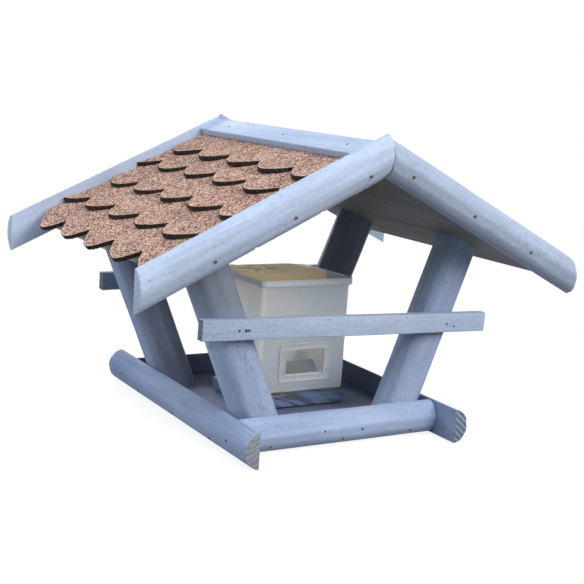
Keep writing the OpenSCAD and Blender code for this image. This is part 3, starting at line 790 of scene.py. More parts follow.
def bitumen(name):
    """Cut edge and back of the felt, black with the odd granule stuck to it."""
    colours, paint = sizes("colours"), Finish(name)
    grit = paint.noise(paint.coords, 520.0, 3.0, 0.6)
    stuck = paint.step(grit, 0.70, 0.78, 0.0, 0.7)
    paint.give(Base_Color=paint.blend(stuck, colours.bitumen, colours.granule),
               Roughness=paint.step(grit, 0.3, 0.7, 0.6, 0.9), Specular_IOR_Level=0.08)
    paint.bump(grit, 0.6, 0.0008)
    return paint.material


def milky(name, tint=(1.0, 1.0, 1.0), clear=MILKY_CLEAR):
    """Translucent milky plastic with faint flow marks and scuffs; gives the finish and its tone."""
    paint = Finish(name)
    cloud = paint.noise(paint.coords, 24.0, 3.0, 0.6)
    base = toned(sizes("colours").milk, tint)
    tone = paint.blend(paint.step(cloud, 0.3, 0.7), toned(base, 0.95), base)
    rubbed = paint.placed(paint.coords, turn=(0.4, 0.2, 0.7), scale=(1.0, 6.0, 1.0))
    scuff = paint.noise(rubbed, 160.0, 4.0, 0.7)
    paint.give(Base_Color=tone, Roughness=paint.step(scuff, 0.35, 0.7, 0.68, 0.82), IOR=1.45,
               Transmission_Weight=clear)
    paint.bump(scuff, 0.05, 0.0004)
    return paint, tone


def box_plastic(name):
    """The box: milky, with a painted highlight along its corners and foot, painted light and shade from
    wall to wall, a darker cooler part that paints a shadow edge, and seed dust on its floor.
    """
    colours, wall = sizes("colours"), sizes("box").wall
    paint, tone = milky(name)
    parts = paint.parts(paint.coords)
    blotch = paint.noise(paint.coords, 30.0, 2.0, 0.5)
    upper = paint.step(parts["Z"], BOX_MIDDLE.z - 0.02, BOX_MIDDLE.z + 0.01)
    # Painted shadow edge: the upper box is darker and cooler right of the middle, with cool blotches over
    # the rest
    cooler_shade = paint.times(paint.step(parts["X"], 0.0040, 0.0052), upper)
    cooler_shade = paint.larger(cooler_shade, paint.step(blotch, 0.50, 0.64, 0.0, 0.7))
    tone = paint.vary(tone, cooler_shade, (1.0, 0.985, 0.985), (0.92, 0.96, 1.0))
    # Painted light and shade by wall: left, right and rear walls lighter, the front darker and bluer low
    # down
    left, front, floor = [paint.step(parts[axis], low + 2 * wall, low + 3 * wall, 1.0, 0.0)
                          for axis, low in zip("XYZ", BOX_LOW)]
    face = paint.blend(upper, (0.92, 0.98, 1.06), (0.92, 0.92, 0.93))
    walls = paint.blend(left, paint.blend(front, (1.1, 1.1, 1.1), face), (1.11, 1.10, 1.08))
    tone = paint.tint(tone, walls)
    # Painted highlight: the rounded upright corners and the edges round the foot are whitened
    ends = []
    for axis, wide, centre in zip("XY", BOX_SIZE, BOX_MIDDLE):
        away = paint.size(paint.minus(parts[axis], centre))
        ends.append(paint.step(away, wide / 2 - 0.0046, wide / 2 - 0.0030))
    base = paint.step(parts["Z"], BOX_LOW.z + 0.0024, BOX_LOW.z + 0.0040, 1.0, 0.0)
    thick = paint.times(*ends)
    for end in ends:
        thick = paint.larger(thick, paint.times(end, base))
    tone = paint.blend(thick, tone, (1.0, 1.0, 1.0))
    inside = paint.times(paint.step(paint.parts(paint.normal())["Z"], 0.7, 0.9), floor)
    inside = paint.times(inside, paint.minus(1.0, thick))
    spread = paint.plus(parts["X"], paint.times(blotch, 0.03))
    dust = paint.blend(paint.step(spread, 0.020, 0.045), colours.straw, colours.box_floor)
    paint.give(Base_Color=paint.blend(paint.times(inside, 0.9), tone, dust),
               Transmission_Weight=paint.step(inside, 0.0, 1.0, MILKY_CLEAR, 0.25))
    return paint.material


def dusty_lip(name):
    """The lip behind the sill: milky plastic under seed dust that thins out to one side."""
    paint, tone = milky(name, (0.42, 0.46, 0.53), 0.3)
    spread = paint.plus(paint.parts(paint.coords)["X"], paint.times(paint.noise(paint.coords, 50.0), 0.03))
    dust = toned(sizes("colours").straw, (0.50, 0.60, 0.85))
    paint.give(Base_Color=paint.blend(paint.step(spread, 0.015, 0.040), dust, tone))
    return paint.material


def straw_lid(name):
    """The lid: milky skirt and border, the skirt painted lighter on its left, and a straw-coloured mottled
    middle that stops short of one corner, where a painted dark reflection lies.
    """
    colours, paint = sizes("colours"), Finish(name)
    coords, parts = paint.coords, paint.parts(paint.coords)
    wave = paint.times(paint.minus(paint.noise(coords, 60.0, 4.0, 0.65), 0.5), 0.016)
    across = paint.minus(paint.times(parts["X"], 0.86), paint.times(parts["Y"], 0.51))
    inside = paint.step(paint.plus(across, wave), 0.0535, 0.0560, 1.0, 0.0)
    above = paint.step(parts["Z"], LID_HIGH.z - 0.0021, LID_HIGH.z - 0.0016)
    mask = paint.times(inside, above)
    grit = paint.cells(paint.placed(coords, scale=(1.0, 2.2, 1.0)), 260.0)[1][0]
    straw = paint.blend(paint.step(grit, 0.1, 0.9), toned(colours.straw, 0.90), toned(colours.straw, 1.08))
    spot = paint.reach(paint.placed(coords, scale=(1.0, 0.8, 0.0), place=(0.010, -0.042, 0.0)))
    swirl = paint.noise(coords, 48.0, 3.0, 0.55, 1.2)
    brown = paint.times(paint.step(spot, 0.016, 0.046, 1.0, 0.1), paint.step(swirl, 0.42, 0.60))
    straw = paint.blend(brown, straw, colours.straw_brown)
    # Painted light: the left of the skirt is white and without transmission, lighter than the rest
    left = paint.step(parts["X"], LID_LOW.x + 0.001, LID_LOW.x + 0.003, 1.0, 0.0)
    rim = paint.blend(left, toned(colours.milk, (0.97, 1.01, 1.07)), (1.0, 1.0, 1.0))
    # Painted reflection: the top's rear right corner, outside the straw, takes a dark grey that stands for
    # the dark deck reflected in the lid
    bare = paint.blend(above, rim, colours.lid_dark_reflection)
    paint.give(Base_Color=paint.blend(mask, bare, straw), IOR=1.49, Specular_IOR_Level=0.25,
               Roughness=paint.step(above, 0.0, 1.0, 0.4, 0.75),
               Transmission_Weight=paint.step(paint.larger(above, left), 0.0, 1.0, 0.3, 0.0))
    paint.bump(paint.times(mask, paint.plus(grit, swirl)), 0.3, 0.0008)
    return paint.material


def nail_metal(name, steel, rust):
    """Dull steel with rust in patches, or stain over it."""
    paint = Finish(name)
    patch = paint.noise(paint.coords, 700.0, 3.0, 0.6)
    paint.give(Base_Color=paint.blend(paint.step(patch, 0.45, 0.65), steel, rust),
               Roughness=paint.step(patch, 0.4, 0.65, 0.45, 0.85),
               Metallic=paint.step(patch, 0.45, 0.65, 0.5, 0.0))
    paint.bump(patch, 0.3, 0.0003)
    return paint.material


# Operators

class FeederOperator:
    """What the operators share."""

    bl_options = {"REGISTER", "UNDO"}

    def execute(self, context):
        self.build()
        clear_selection()
        return {"FINISHED"}


class FEEDER_OT_rails(FeederOperator, bpy.types.Operator):
    """Four half-log rails round the tray"""

    bl_idname = "feeder.rails"
    bl_label = "Tray rails"

    def build(self):
        wood, colours = sizes("wood"), sizes("colours")
        # Painted shade: the inner face of the rear rail is darkened, and the side rails darken towards
        # their rear ends, the right one much more
        looks = {
            "front": {"shade": 1.26, "marks": RAIL_MARKS},
            "rear": {"painted_side_light": ((0.0, 1.0, 0.0), 0.36, 1.0)},
            "left": {"shade": 0.92, "painted_shading": (0.02, 0.20, 0.5, 1.0),
                     "shading_tone": toned(colours.stain_deep, (0.61, 0.65, 0.80))},
            "right": {"shade": 1.15, "end_stain": 0.2, "end_tone": 0.46,
                      "end_pair": ((0.050, 0.080, 0.130), (0.60, 0.80, 1.0)), "saw_turn": (0.25, -0.7, 0.1),
                      "saw_sway": 0.7, "saw_from": 0.86, "painted_shading": (-0.13, 0.02, 0.75, 1.0),
                      "shading_tone": toned(colours.stain_deep, 0.22)},
        }
        across, along = (2 * wood.tray_x, (1.0, 0.0, 0.0)), (wood.side_length, (0.0, 1.0, 0.0))
        for seed, (name, turn, place, (long, grain)) in enumerate((
            ("front", 0.0, (0.0, -wood.tray_y), across),
            ("rear", math.pi, (0.0, wood.tray_y), across),
            ("left", -math.pi / 2, (-wood.tray_x, 0.0), along),
            ("right", math.pi / 2, (wood.tray_x, 0.0), along),
        ), 1):
            log = half_log(long, wood.rail_height, wood.rail_bulge, RAIL_RINGS, seed)
            settle(log, (0.0, 0.0, turn), (*place, wood.rail_height / 2))
            round_edges(log, wood.log_edge)
            made = stained_wood("stain_rail_" + name, grain, seed, colours.stain, colours.stain_deep,
                                bare_share=0.35, **looks[name])
            finish_piece(log, "rail_" + name, "log", [made])


class FEEDER_OT_posts(FeederOperator, bpy.types.Operator):
    """Four leaning posts between the tray and the deck"""

    bl_idname = "feeder.posts"
    bl_label = "Posts"

    def build(self):
        wood, roof, colours = sizes("wood"), sizes("roof"), sizes("colours")
        plain, radius = wood.post_lean, wood.post_diameter / 2
        foot_x = (wood.tray_x - wood.post_gap - (wood.rail_height - wood.floor_thickness) * math.tan(plain)
                  - radius / math.cos(plain))
        for seed, (corner, side, row) in enumerate(corners(), 11):
            more, moved, swell = POST_STANDS[corner]
            lean, thick = plain + math.radians(more), radius * swell
            axis = Vector((side * math.sin(lean), 0.0, math.cos(lean)))
            foot = Vector((side * foot_x + moved, row * (wood.tray_y - thick), wood.floor_thickness))
            post = drawn_log(thick, POST_BLANK, POST_RINGS, seed, flats=6, share=1.0)
            settle(post, (0.0, side * lean - math.pi / 2, 0.0), foot + axis * POST_MIDDLE)
            edit(post)
            cut((0.0, 0.0, wood.floor_thickness), (0.0, 0.0, -1.0))
            cut((0.0, 0.0, ridge_height()), (side * math.sin(roof.pitch), 0.0, math.cos(roof.pitch)))
            round_edges(post, wood.log_edge * 0.6)
            made = stained_wood("stain_post_" + corner, axis, seed + 0.5, colours.stain, colours.stain_deep,
                                bare_share=0.7, **POST_LOOKS[corner])
            finish_piece(post, "post_" + corner, "log", [made])


class FEEDER_OT_verges(FeederOperator, bpy.types.Operator):
    """Four half-log verges along the gables, mitred at the ridge"""

    bl_idname = "feeder.verges"
    bl_label = "Verge logs"

    def build(self):
        wood, roof, colours = sizes("wood"), sizes("roof"), sizes("colours")
        height = roof.verge_height * math.cos(roof.pitch)
        # Painted light: the low end of the rear left verge is made lighter
        painted_light_low = (roof.tip_z + 0.075, roof.tip_z + 0.030, 0.7, 0.0)
        for seed, (corner, side, row) in enumerate(corners(), 21):
            more, lift, swell, trim, slant = VERGE_LIES[corner]
            log = half_log(VERGE_BLANK, height * swell, roof.verge_bulge, VERGE_RINGS, seed)
            slope = side * (roof.pitch + math.radians(more))
            settle(log, (0.0, slope, 0.0) if row < 0 else (0.0, -slope, math.pi),
                   on_slope(side, VERGE_MIDDLE, row * roof.half_length, height / 2 + lift))
            edit(log)
            cut((side * roof.mitre_gap / 2, 0.0, 0.0), (-side, 0.0, 0.0))
            cut((side * (roof.tip_x - trim), 0.0, roof.tip_z + height / 2), (side, 0.0, slant))
            round_edges(log, wood.log_edge)
            grain = (math.cos(roof.pitch), 0.0, -side * math.sin(roof.pitch))
            made = stained_wood("stain_verge_" + corner, grain, seed + 0.3, colours.stain_pale,
                                toned(colours.stain_pale, 0.86), bare_share=0.3,
                                shade=1.05 if side < 0 else 0.93, end_stain=0.4,
                                painted_shading=painted_light_low if corner == "rear_left" else None,
                                shading_tone=toned(colours.stain_pale, 1.3))
            finish_piece(log, "verge_" + corner, "log", [made])


class FEEDER_OT_perches(FeederOperator, bpy.types.Operator):
    """Two perch laths across the front and the rear posts"""

    bl_idname = "feeder.perches"
    bl_label = "Perch laths"

    def build(self):
        wood, colours = sizes("wood"), sizes("colours")
        middle, size = (PERCH_LOW + PERCH_HIGH) / 2, PERCH_HIGH - PERCH_LOW
        front = -(wood.tray_y + size.y)
        marks = [((x, front, z), width) for x, z, width in PERCH_MARKS]
        # Painted shade: the rear lath is darkened for the roof's shade
        lies = {"front": (wood.perch_slant, wood.perch_height, wood.perch_lift, marks, 1.06),
                "rear": (0.0, size.z, wood.rear_lift, (), 0.64)}
        for seed, (row_name, row) in enumerate(ROWS.items(), 31):
            slant, tall, lift, dents, shade = lies[row_name]
            long = wood.perch_length - row * wood.perch_extra
            made = lath(long, size.y, tall, PERCH_RINGS, wander=0.0005, seed=seed)
            settle(made, (0.0, slant, 0.0),
                   (middle.x + wood.perch_extra / 2, row * middle.y, middle.z + lift))
            grain = (math.cos(slant), 0.0, -math.sin(slant))
            stain = stained_wood("stain_perch_" + row_name, grain, seed, colours.stain_pale, colours.stain,
                                 bare_share=0.2, marks=dents, shade=shade, end_tone=0.45)
            finish_piece(made, "perch_" + row_name, "lath", [stain])


class FEEDER_OT_deck(FeederOperator, bpy.types.Operator):
    """Deck boards of the roof and the floor board of the tray"""

    bl_idname = "feeder.deck"
    bl_label = "Deck and floor boards"

    def build(self):
        colours = sizes("colours")
        # Painted shade: each board darkened by its own factor, and darker still under the ridge
        for i, shade in enumerate(DECK_PAINTED_SHADES, 1):
            for side_name in SIDES:
                board = "deck_%s_%d" % (side_name, i)
                made = stained_wood("stain_" + board, (0.0, 1.0, 0.0), 41.0 + i, colours.deck_stain,
                                    toned(colours.deck_stain, 0.72), bare_share=0.3, shade=shade,
                                    painted_shading=(0.255, 0.320, 0.9, 0.2), shading_tone=colours.deck_ridge_shade,
                                    bevel_tone=colours.deck_joint)
                finish_node(board, made)
        floor = stained_wood("stain_floor", (1.0, 0.0, 0.0), 48.0, colours.tray_stain,
                             toned(colours.tray_stain, 0.7), bare_share=0.2)
        finish_node("floor_board", floor)


class FEEDER_OT_shingles(FeederOperator, bpy.types.Operator):
    """Five courses of round-ended felt shingles on each slope, over their starter strips"""

    bl_idname = "feeder.shingles"
    bl_label = "Shingles"

    def sheet(self, side, k, seed):
        """One course: a grid drawn to the row of tabs, curled, and given its thickness."""
        roof, tilt, start = sizes("roof"), course_tilt(), course_start(k)
        half, tab = roof.half_length - FELT_GAP, roof.tab_width
        tabs = math.ceil(2 * roof.half_length / tab) + 2
        eave = (roof.tip_x - roof.eave_setback) / math.cos(roof.pitch) - start
        full = (course_tip(k) - start) / math.cos(tilt)
        dice = random.Random(seed)
        lift = [dice.uniform(0.75, 1.2) * roof.tab_curl for _ in range(tabs)]
        twist = [dice.uniform(-0.25, 0.25) * roof.tab_curl for _ in range(tabs)]
        clear_selection()
        bpy.ops.mesh.primitive_grid_add(x_subdivisions=FELT_ROWS, y_subdivisions=FELT_COLUMNS, size=2.0)
        made = bpy.context.object
        edge = made.data.attributes.new("tab_edge", "FLOAT", "POINT")
        for v in made.data.vertices:
            across = v.co.y * half
            place = (roof.half_length - across) / tab + TAB_OFFSETS[k - 1]
            number = int(place)
            off = (place - number - 0.5) * tab
            ragged = roof.tab_ragged * 1.6 * noise.noise((across * 410.0, seed * 7.0, 0.0))
            ragged += roof.tab_ragged * 1.4 * noise.noise((across * 45.0, 3.0, seed * 5.0))
            tip = full - roof.tab_depth * abs(2 * off / tab) ** roof.tab_point + ragged
            share = (v.co.x + 1.0) / 2
            down = tip * (1.0 - (1.0 - share) ** 1.5)
            near = max(0.0, 1.0 - (full - down) / (1.35 * roof.tab_depth))
            curl = near ** 1.5 * (lift[number] + twist[number] * 2 * off / tab)
            curl += 0.0005 * noise.noise((down * 30.0, across * 30.0, seed * 3.0))
            past = max(0.0, down - eave) / (full - eave)
            up = roof.shingle_thickness + (curl - roof.eave_sag * past ** 1.6)
            edge.data[v.index].value = tip - down
            v.co = on_slope(side, start + down * math.cos(tilt) - up * math.sin(tilt), across,
                            roof.deck_thickness + down * math.sin(tilt) + up * math.cos(tilt))
        if side < 0:
            edit(made)
            bpy.ops.mesh.flip_normals()
            clear_selection()
        thicken(made, roof.felt_edge, material_offset=1, material_offset_rim=1)
        for face in made.data.polygons:
            if abs(face.normal.y) > 0.7:
                face.material_index = 0
        if k == COURSES:
            edit(made)
            cut((side * FELT_GAP, 0.0, 0.0), (-side, 0.0, 0.0))
        return made

    def build(self):
        stone, black = granules("shingle_granules"), bitumen("shingle_bitumen")
        for side_name, side in SIDES.items():
            for k in range(1, COURSES + 1):
                made = self.sheet(side, k, k + (10 if side > 0 else 0))
                finish_piece(made, "shingle_%s_%d" % (side_name, k), "felt", [stone, black],
                             smooth=50.0)
            finish_node("shingle_starter_" + side_name, black)


class FEEDER_OT_ridge(FeederOperator, bpy.types.Operator):
    """Two ridge strips over the upper edge of the shingles"""

    bl_idname = "feeder.ridge"
    bl_label = "Ridge strips"

    def build(self):
        wood, roof, colours = sizes("wood"), sizes("roof"), sizes("colours")
        tilt, pitch, start = course_tilt(), roof.pitch, course_start(COURSES)
        rise = roof.deck_thickness + roof.shingle_thickness / math.cos(tilt)
        low = roof.strip_width - math.tan(pitch) * (rise + roof.strip_thickness - start * math.tan(tilt))
        low /= 1 + math.tan(pitch) * math.tan(tilt)
        under = rise + (low - start) * math.tan(tilt)
        for seed, (side_name, side) in enumerate(SIDES.items(), 52):
            strip = block(2 * roof.strip_width, 2 * roof.half_length, roof.strip_thickness)
            settle(strip, (0.0, side * pitch, 0.0),
                   on_slope(side, low - roof.strip_width, 0.0, under + roof.strip_thickness / 2))
            edit(strip)
            cut((0.0, 0.0, 0.0), (-side, 0.0, 0.0))
            round_edges(strip, wood.board_edge * 0.8, angle=20.0)
            made = stained_wood("stain_ridge_" + side_name, (0.0, 1.0, 0.0), seed, colours.stain_pale,
                                colours.stain, bare_share=0.25, shade=0.9)
            finish_piece(strip, "ridge_strip_" + side_name, "board", [made])


class FEEDER_OT_pedestal(FeederOperator, bpy.types.Operator):
    """Board under the feed box"""

    bl_idname = "feeder.pedestal"
    bl_label = "Pedestal board"

    def build(self):
        wood, colours = sizes("wood"), sizes("colours")
        size, middle = PEDESTAL_HIGH - PEDESTAL_LOW, (PEDESTAL_HIGH + PEDESTAL_LOW) / 2
        board = lath(size.x, size.y, size.z, PEDESTAL_RINGS, wander=0.0002, seed=61.0)
        step = wood.rebate_height - size.z / 2
        edit(board)
        score(step, step - LEDGE)
        pick(board, "EDGE", lambda e: all(v.co.z < step - LEDGE / 2 for v in e.verts))
        draw_in(size, wood.rebate)
        settle(board, place=middle)
        # Painted shade: the pedestal darkens towards its left end and lightens towards its right end
        made = stained_wood("stain_pedestal", (1.0, 0.0, -0.42), 61.0, colours.stain_deep,
                            toned(colours.stain_deep, 0.3), bare_share=1.4, shade=(0.86, 0.94, 1.08),
                            end_stain=0.9, bare=toned(colours.bare_wood, (0.200, 0.220, 0.240)),
                            patchy=True, painted_side_light=((1.0, 0.0, 0.0), 0.45, 1.15))
        finish_piece(board, "pedestal", "board", [made])


class FEEDER_OT_feed_box(FeederOperator, bpy.types.Operator):
    """Milky feed box with its window frame and its lid"""

    bl_idname = "feeder.feed_box"
    bl_label = "Feed box"

    def to_front_wall(self, piece):
        """Move a piece from the upright plane Y = 0 to the leaning front wall of the box."""
        box = sizes("box")
        settle(piece, (math.atan(box.taper / box.height), 0.0, 0.0),
               (BOX_MIDDLE.x, BOX_MIDDLE.y - BOX_SIZE.y / 2 + box.taper, BOX_LOW.z))

    def shell(self):
        """The tapered box, open at the top, with the window cut out."""
        box = sizes("box")
        made = block(BOX_SIZE.x, BOX_SIZE.y, box.height, (0.0, 0.0, box.height / 2))
        edit(made)
        pick(made, "FACE", lambda f: f.normal.z < -0.9)
        bpy.ops.transform.resize(value=(1 - box.taper / BOX_SIZE.x, 1 - 2 * box.taper / BOX_SIZE.y, 1.0),
                                 center_override=(BOX_SIZE.x / 2, 0.0, 0.0))
        pick(made, "EDGE", lambda e: abs(run(e).z) > box.height / 2)
        bevel(box.corner, 8)
        pick(made, "EDGE", lambda e: all(v.co.z < TOUCH for v in e.verts))
        bevel(box.foot_round, 4)
        pick(made, "FACE", lambda f: f.normal.z > 0.9)
        bpy.ops.mesh.delete(type="FACE")
        thicken(made, box.wall)
        for v in made.data.vertices:
            if v.co.z > box.height - 0.001 and v.co.x > 0.0 and v.co.y > 0.0:
                v.co.z -= 1.1 * box.lid_droop
        settle(made, place=(BOX_MIDDLE.x, BOX_MIDDLE.y, BOX_LOW.z))
        edge = 2 * (box.collar + FRAME_PLAY)
        opening = block(box.window_width + edge, WALL_CUT, box.window_height + edge,
                        (box.window_x, 0.0, box.window_sill + box.window_height / 2))
        self.to_front_wall(opening)
        carve(opening, made)
        return made

    def frame(self):
        """The window frame: a plate with round corners, clip slots and a collar through the wall."""
        box = sizes("box")
        centre = box.window_sill + box.window_height / 2
        wide, high = box.window_width + 2 * box.frame_side, box.window_height + 2 * box.frame_edge
        border = (box.window_width + box.frame_side) / 2
        plate = block(wide, box.frame_thickness, high, (box.window_x, -box.frame_thickness / 2, centre))
        edit(plate)
        pick(plate, "EDGE", lambda e: abs(run(e).y) > box.frame_thickness / 2)
        bevel(FRAME_CORNER, 5)
        collar = block(box.window_width + 2 * box.collar, box.collar_depth,
                       box.window_height + 2 * box.collar, (box.window_x, box.collar_depth / 2, centre))
        hole = block(box.window_width, THROUGH, box.window_height, (box.window_x, 0.0, centre))
        carve(hole, plate, collar)
        edit(plate)
        pick(plate, "FACE", lambda f: f.normal.y < -0.9)
        bpy.ops.mesh.inset(thickness=box.frame_rim, depth=0.0)
        bpy.ops.mesh.inset(thickness=box.frame_rim * 0.3, depth=-box.frame_groove)
        for x in (-1, 1):
            for z in (-1, 1):
                place = (box.window_x + x * border, 0.0, centre + z * high / 4)
                carve(block(SLOT_WIDTH, THROUGH, box.clip_slot, place), plate)
        lip = block(box.window_width - box.lip_gap, box.lip_depth, box.lip_thickness,
                    (0.0, box.lip_depth / 2, 0.0))
        settle(lip, (math.asin(box.lip_rise / box.lip_depth), 0.0, 0.0),
               (box.window_x, box.collar_depth - 0.001, box.window_sill - box.lip_thickness / 2))
        round_edges(plate, 0.0005, angle=50.0)
        round_edges(collar, 0.0003, segments=2, angle=50.0)
        edit(lip)
        pick(lip, "FACE", lambda f: f.normal.z > 0.5)
        bpy.ops.mesh.inset(thickness=box.lip_thickness, depth=0.0)
        join(plate, collar, lip)
        for face in plate.data.polygons:
            aside = abs(face.center.x - box.window_x) - border
            if face.center.y > box.collar_depth + 0.0005:
                face.material_index = 2 if face.area > 1e-4 else 1
            elif abs(face.normal.y) < 0.8 and abs(aside) > 0.0012:
                face.material_index = 1
        self.to_front_wall(plate)
        return plate

    def lid(self):
        """The lid: a skirt under a rounded bead, and a level top with a low, uneven crown."""
        box, middle = sizes("box"), (LID_LOW + LID_HIGH) / 2
        size = LID_HIGH - LID_LOW + Vector((2 * box.lid_flare, 2 * box.lid_flare, 0.0))
        skirt = size.z - box.lid_crown
        ledge, groove, half_groove = skirt - box.lid_bead, skirt - box.lid_groove, box.groove_width / 2
        made = block(size.x, size.y, skirt, (0.0, 0.0, skirt / 2))
        edit(made)
        pick(made, "EDGE", lambda e: abs(run(e).z) > skirt / 2)
        bevel(box.corner, 8)
        score(ledge, ledge - LEDGE, groove, groove - half_groove, groove + half_groove)
        for level, step in ((lambda z: z < ledge - LEDGE / 2, box.bead_step),
                            (lambda z: abs(z - groove) < TOUCH, box.groove_depth)):
            pick(made, "EDGE", lambda e: all(level(v.co.z) for v in e.verts))
            draw_in(size, step)
        for level, width in ((skirt, box.bead_round), (ledge, box.bead_round * 0.6)):
            pick(made, "EDGE", lambda e: all(abs(v.co.z - level) < TOUCH for v in e.verts))
            bevel(width, 5)
        pick(made, "FACE", lambda f: f.normal.z < -0.9 and f.calc_area() > size.x * size.y / 2)
        bpy.ops.mesh.delete(type="FACE")
        thicken(made, box.lid_wall)
        crown = self.crown(size.x / 2 - box.lid_border, size.y / 2 - box.lid_border)
        settle(crown, place=(0.0, 0.0, skirt))
        join(made, crown)
        for v in made.data.vertices:
            away = math.hypot(size.x / 2 - v.co.x, (size.y / 2 - v.co.y) / 2)
            v.co.z -= box.lid_droop * max(0.0, 1 - away / DROOP_REACH) ** 1.2
        settle(made, place=(middle.x, middle.y, LID_LOW.z))
        return made

    def crown(self, half_x, half_y):
        """The lid's middle: a thin rounded slab, higher inside its rim and a little uneven."""
        box = sizes("box")
        clear_selection()
        bpy.ops.mesh.primitive_grid_add(x_subdivisions=CROWN_ROWS, y_subdivisions=CROWN_COLUMNS, size=2.0)
        made = bpy.context.object
        for v in made.data.vertices:
            x, y = v.co.x * half_x, v.co.y * half_y
            rim = min(half_x - abs(x), half_y - abs(y)) / box.lid_border
            past_x, past_y = abs(x) - half_x + box.corner, abs(y) - half_y + box.corner
            if past_x > 0.0 and past_y > 0.0:
                pull = 1.0 - max(past_x, past_y) / math.hypot(past_x, past_y)
                x -= math.copysign(past_x * pull, x)
                y -= math.copysign(past_y * pull, y)
            rise = min(1.0, rim) * (0.62 + 0.5 * noise.noise((x * 26.0, y * 26.0, 4.0)))
            v.co = (x, y, box.lid_crown * min(1.0, rise) - 0.0003)
        thicken(made, 0.001, even=False)
        return made

    def build(self):
        finish_piece(self.shell(), "feed_box", "shell", [box_plastic("plastic_box")],
                     body="feed_box", smooth=40.0)
        window = [milky("plastic_window", (1.10, 1.14, 1.15), 0.24)[0].material,
                  milky("plastic_edge", (1.15, 1.15, 1.15), 0.15)[0].material, dusty_lip("plastic_lip")]
        finish_piece(self.frame(), "window_frame", "moulding", window,
                     body="feed_box", smooth=40.0)
        finish_piece(self.lid(), "feed_box_lid", "moulding", [straw_lid("plastic_lid")],
                     body="lid", smooth=40.0)


class FEEDER_OT_nails(FeederOperator, bpy.types.Operator):
    """Nails and screws"""

    bl_idname = "feeder.nails"
    bl_label = "Nails and screws"

    def build(self):
        colours = sizes("colours")
        steel = nail_metal("nail_steel", colours.nail_steel, colours.rust)
        stained = nail_metal("nail_stained", toned(colours.stain_deep, 0.55), colours.speck)
        for name in ("rail_nails", "post_screws", "verge_nails", "shingle_nails", "ridge_nails",
                     "pedestal_screws"):
            finish_node(name, steel)
        finish_node("perch_nails", stained)


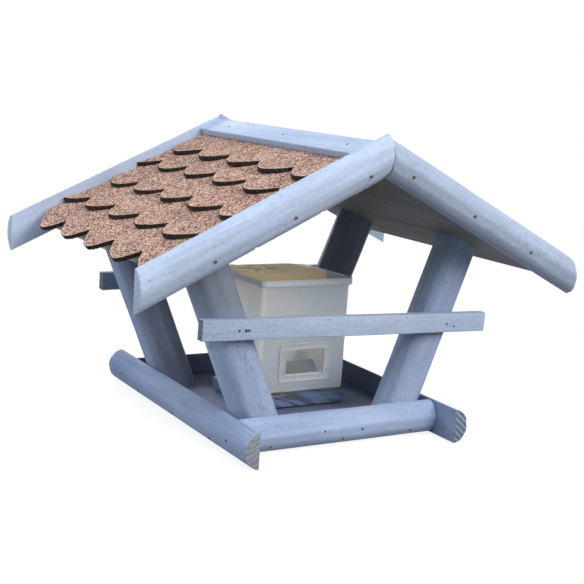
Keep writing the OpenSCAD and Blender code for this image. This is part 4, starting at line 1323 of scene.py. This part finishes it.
class FEEDER_OT_stage(FeederOperator, bpy.types.Operator):
    """Floor, backdrop, lamps and camera"""

    bl_idname = "feeder.stage"
    bl_label = "Stage"

    def seen(self, nodes):
        """1 for what the camera, a reflection or glass sees, and 0 for light thrown on the house."""
        path = nodes.add("ShaderNodeLightPath").outputs
        both = nodes.larger(path["Is Camera Ray"], path["Is Glossy Ray"])
        return nodes.larger(both, path["Is Transmission Ray"])

    def lamp(self, name, place, power, width, height, tone):
        """A large soft lamp that faces the house."""
        data = bpy.data.lights.new(name, "AREA")
        data.shape, data.size, data.size_y = "RECTANGLE", width, height
        data.energy, data.color = power, tone
        made = bpy.data.objects.new(name, data)
        bpy.context.scene.collection.objects.link(made)
        made.location = place
        made.rotation_euler = (Vector(LAMP_TARGET) - Vector(place)).to_track_quat("-Z", "Y").to_euler()

    def floor(self):
        """A pale floor that keeps a soft shadow."""
        clear_selection()
        bpy.ops.mesh.primitive_plane_add(size=FLOOR_SIZE, location=(0.0, 0.0, -0.0005))
        made = bpy.context.object
        made.name = "floor"
        bpy.ops.object.transform_apply(location=True, rotation=True, scale=True)
        finish = Finish("floor")
        finish.tree.nodes.remove(finish.shader)
        dull, pale = [finish.add("ShaderNodeBsdfDiffuse", values={"Color": (*tone, 1.0)}).outputs[0]
                      for tone in (sizes("stage").floor_colour, FLOOR_SEEN)]
        glow, white = [finish.add("ShaderNodeEmission", values={
            "Color": WHITE, "Strength": strength}).outputs[0] for strength in (FLOOR_GLOW, 1.0)]
        near = finish.add("ShaderNodeAddShader", links={0: pale, 1: glow}).outputs[0]
        away = finish.step(finish.reach(finish.coords), 0.45, 0.9)
        shown = finish.add("ShaderNodeMixShader", links={0: away, 1: near, 2: white}).outputs[0]
        both = finish.add("ShaderNodeMixShader", links={0: self.seen(finish), 1: dull, 2: shown}).outputs[0]
        finish.tree.links.new(both, finish.tree.nodes["Material Output"].inputs["Surface"])
        made.data.materials.append(finish.material)

    def backdrop(self):
        """White where it is seen, and a faint sky for the light from all round."""
        stage = sizes("stage")
        world = bpy.data.worlds.new("backdrop")
        bpy.context.scene.world = world
        world.use_nodes = True
        nodes, tree = Nodes(world.node_tree), world.node_tree
        sky = tree.nodes["Background"]
        sky.inputs["Color"].default_value = (*stage.ambient_colour, 1.0)
        sky.inputs["Strength"].default_value = stage.ambient
        white = nodes.add("ShaderNodeBackground", values={"Color": WHITE, "Strength": 1.0})
        both = nodes.add("ShaderNodeMixShader", links={
            0: self.seen(nodes), 1: sky.outputs[0], 2: white.outputs[0]})
        tree.links.new(both.outputs[0], tree.nodes["World Output"].inputs["Surface"])

    def camera(self):
        """A camera at the front left, a little above the tray."""
        turn, drop, roll = [math.radians(degrees) for degrees in CAMERA_TURNS]
        ahead = Vector((math.sin(turn) * math.cos(drop), math.cos(turn) * math.cos(drop), -math.sin(drop)))
        right = Vector((math.cos(turn), -math.sin(turn), 0.0))
        above = right.cross(ahead)
        rolled = math.cos(roll) * right + math.sin(roll) * above
        upright = math.cos(roll) * above - math.sin(roll) * right
        data = bpy.data.cameras.new("camera")
        data.lens, data.sensor_width, data.sensor_fit = CAMERA_LENS, 36.0, "AUTO"
        made = bpy.data.objects.new("camera", data)
        bpy.context.scene.collection.objects.link(made)
        made.matrix_world = Matrix.Translation(CAMERA_PLACE) @ Matrix(
            (rolled, upright, -ahead)).transposed().to_4x4()
        bpy.context.scene.camera = made

    def build(self):
        stage = sizes("stage")
        bpy.context.scene.view_settings.view_transform = "Standard"
        self.floor()
        self.backdrop()
        self.lamp("key", (1.0, -2.9, 1.9), stage.key_power, 2.0, 1.6, (1.0, 0.985, 0.96))
        self.lamp("sky", (-0.5, -0.8, 3.2), stage.sky_power, 3.0, 3.0, (0.92, 0.96, 1.0))
        self.lamp("fill", (-2.9, 0.7, 1.5), stage.fill_power, 1.8, 1.4, (0.84, 0.92, 1.0))
        self.lamp("back", (0.4, 2.8, 0.95), stage.back_power, 2.0, 0.9, (1.0, 0.985, 0.96))
        self.camera()


OPERATORS = (
    FEEDER_OT_stage, FEEDER_OT_rails, FEEDER_OT_posts, FEEDER_OT_verges, FEEDER_OT_perches, FEEDER_OT_deck,
    FEEDER_OT_shingles, FEEDER_OT_ridge, FEEDER_OT_pedestal, FEEDER_OT_feed_box, FEEDER_OT_nails,
)
GROUPS = {
    "roof": FeederRoofSizes, "wood": FeederWoodSizes, "box": FeederBoxSizes, "colours": FeederColours,
    "stage": FeederStage,
}


class FEEDER_PT_panel(bpy.types.Panel):
    """Sidebar panel of the bird feeder house"""

    bl_idname = "FEEDER_PT_panel"
    bl_label = "Bird feeder house"
    bl_space_type = "VIEW_3D"
    bl_region_type = "UI"
    bl_category = "Feeder"

    def draw(self, context):
        for operator in OPERATORS:
            self.layout.operator(operator.bl_idname)
        for name, group in GROUPS.items():
            box = self.layout.box()
            box.label(text=group.__doc__)
            for key in group.__annotations__:
                box.prop(getattr(context.scene, "feeder_" + name), key)


def register():
    for name, group in GROUPS.items():
        bpy.utils.register_class(group)
        setattr(bpy.types.Scene, "feeder_" + name, PointerProperty(type=group))
    for made in (*OPERATORS, FEEDER_PT_panel):
        bpy.utils.register_class(made)


def unregister():
    for made in reversed((*OPERATORS, FEEDER_PT_panel)):
        bpy.utils.unregister_class(made)
    for name, group in reversed(GROUPS.items()):
        delattr(bpy.types.Scene, "feeder_" + name)
        bpy.utils.unregister_class(group)


def main():
    register()
    for operator in OPERATORS:
        part, _, call = operator.bl_idname.partition(".")
        getattr(getattr(bpy.ops, part), call)()


if __name__ == "__main__":
    main()
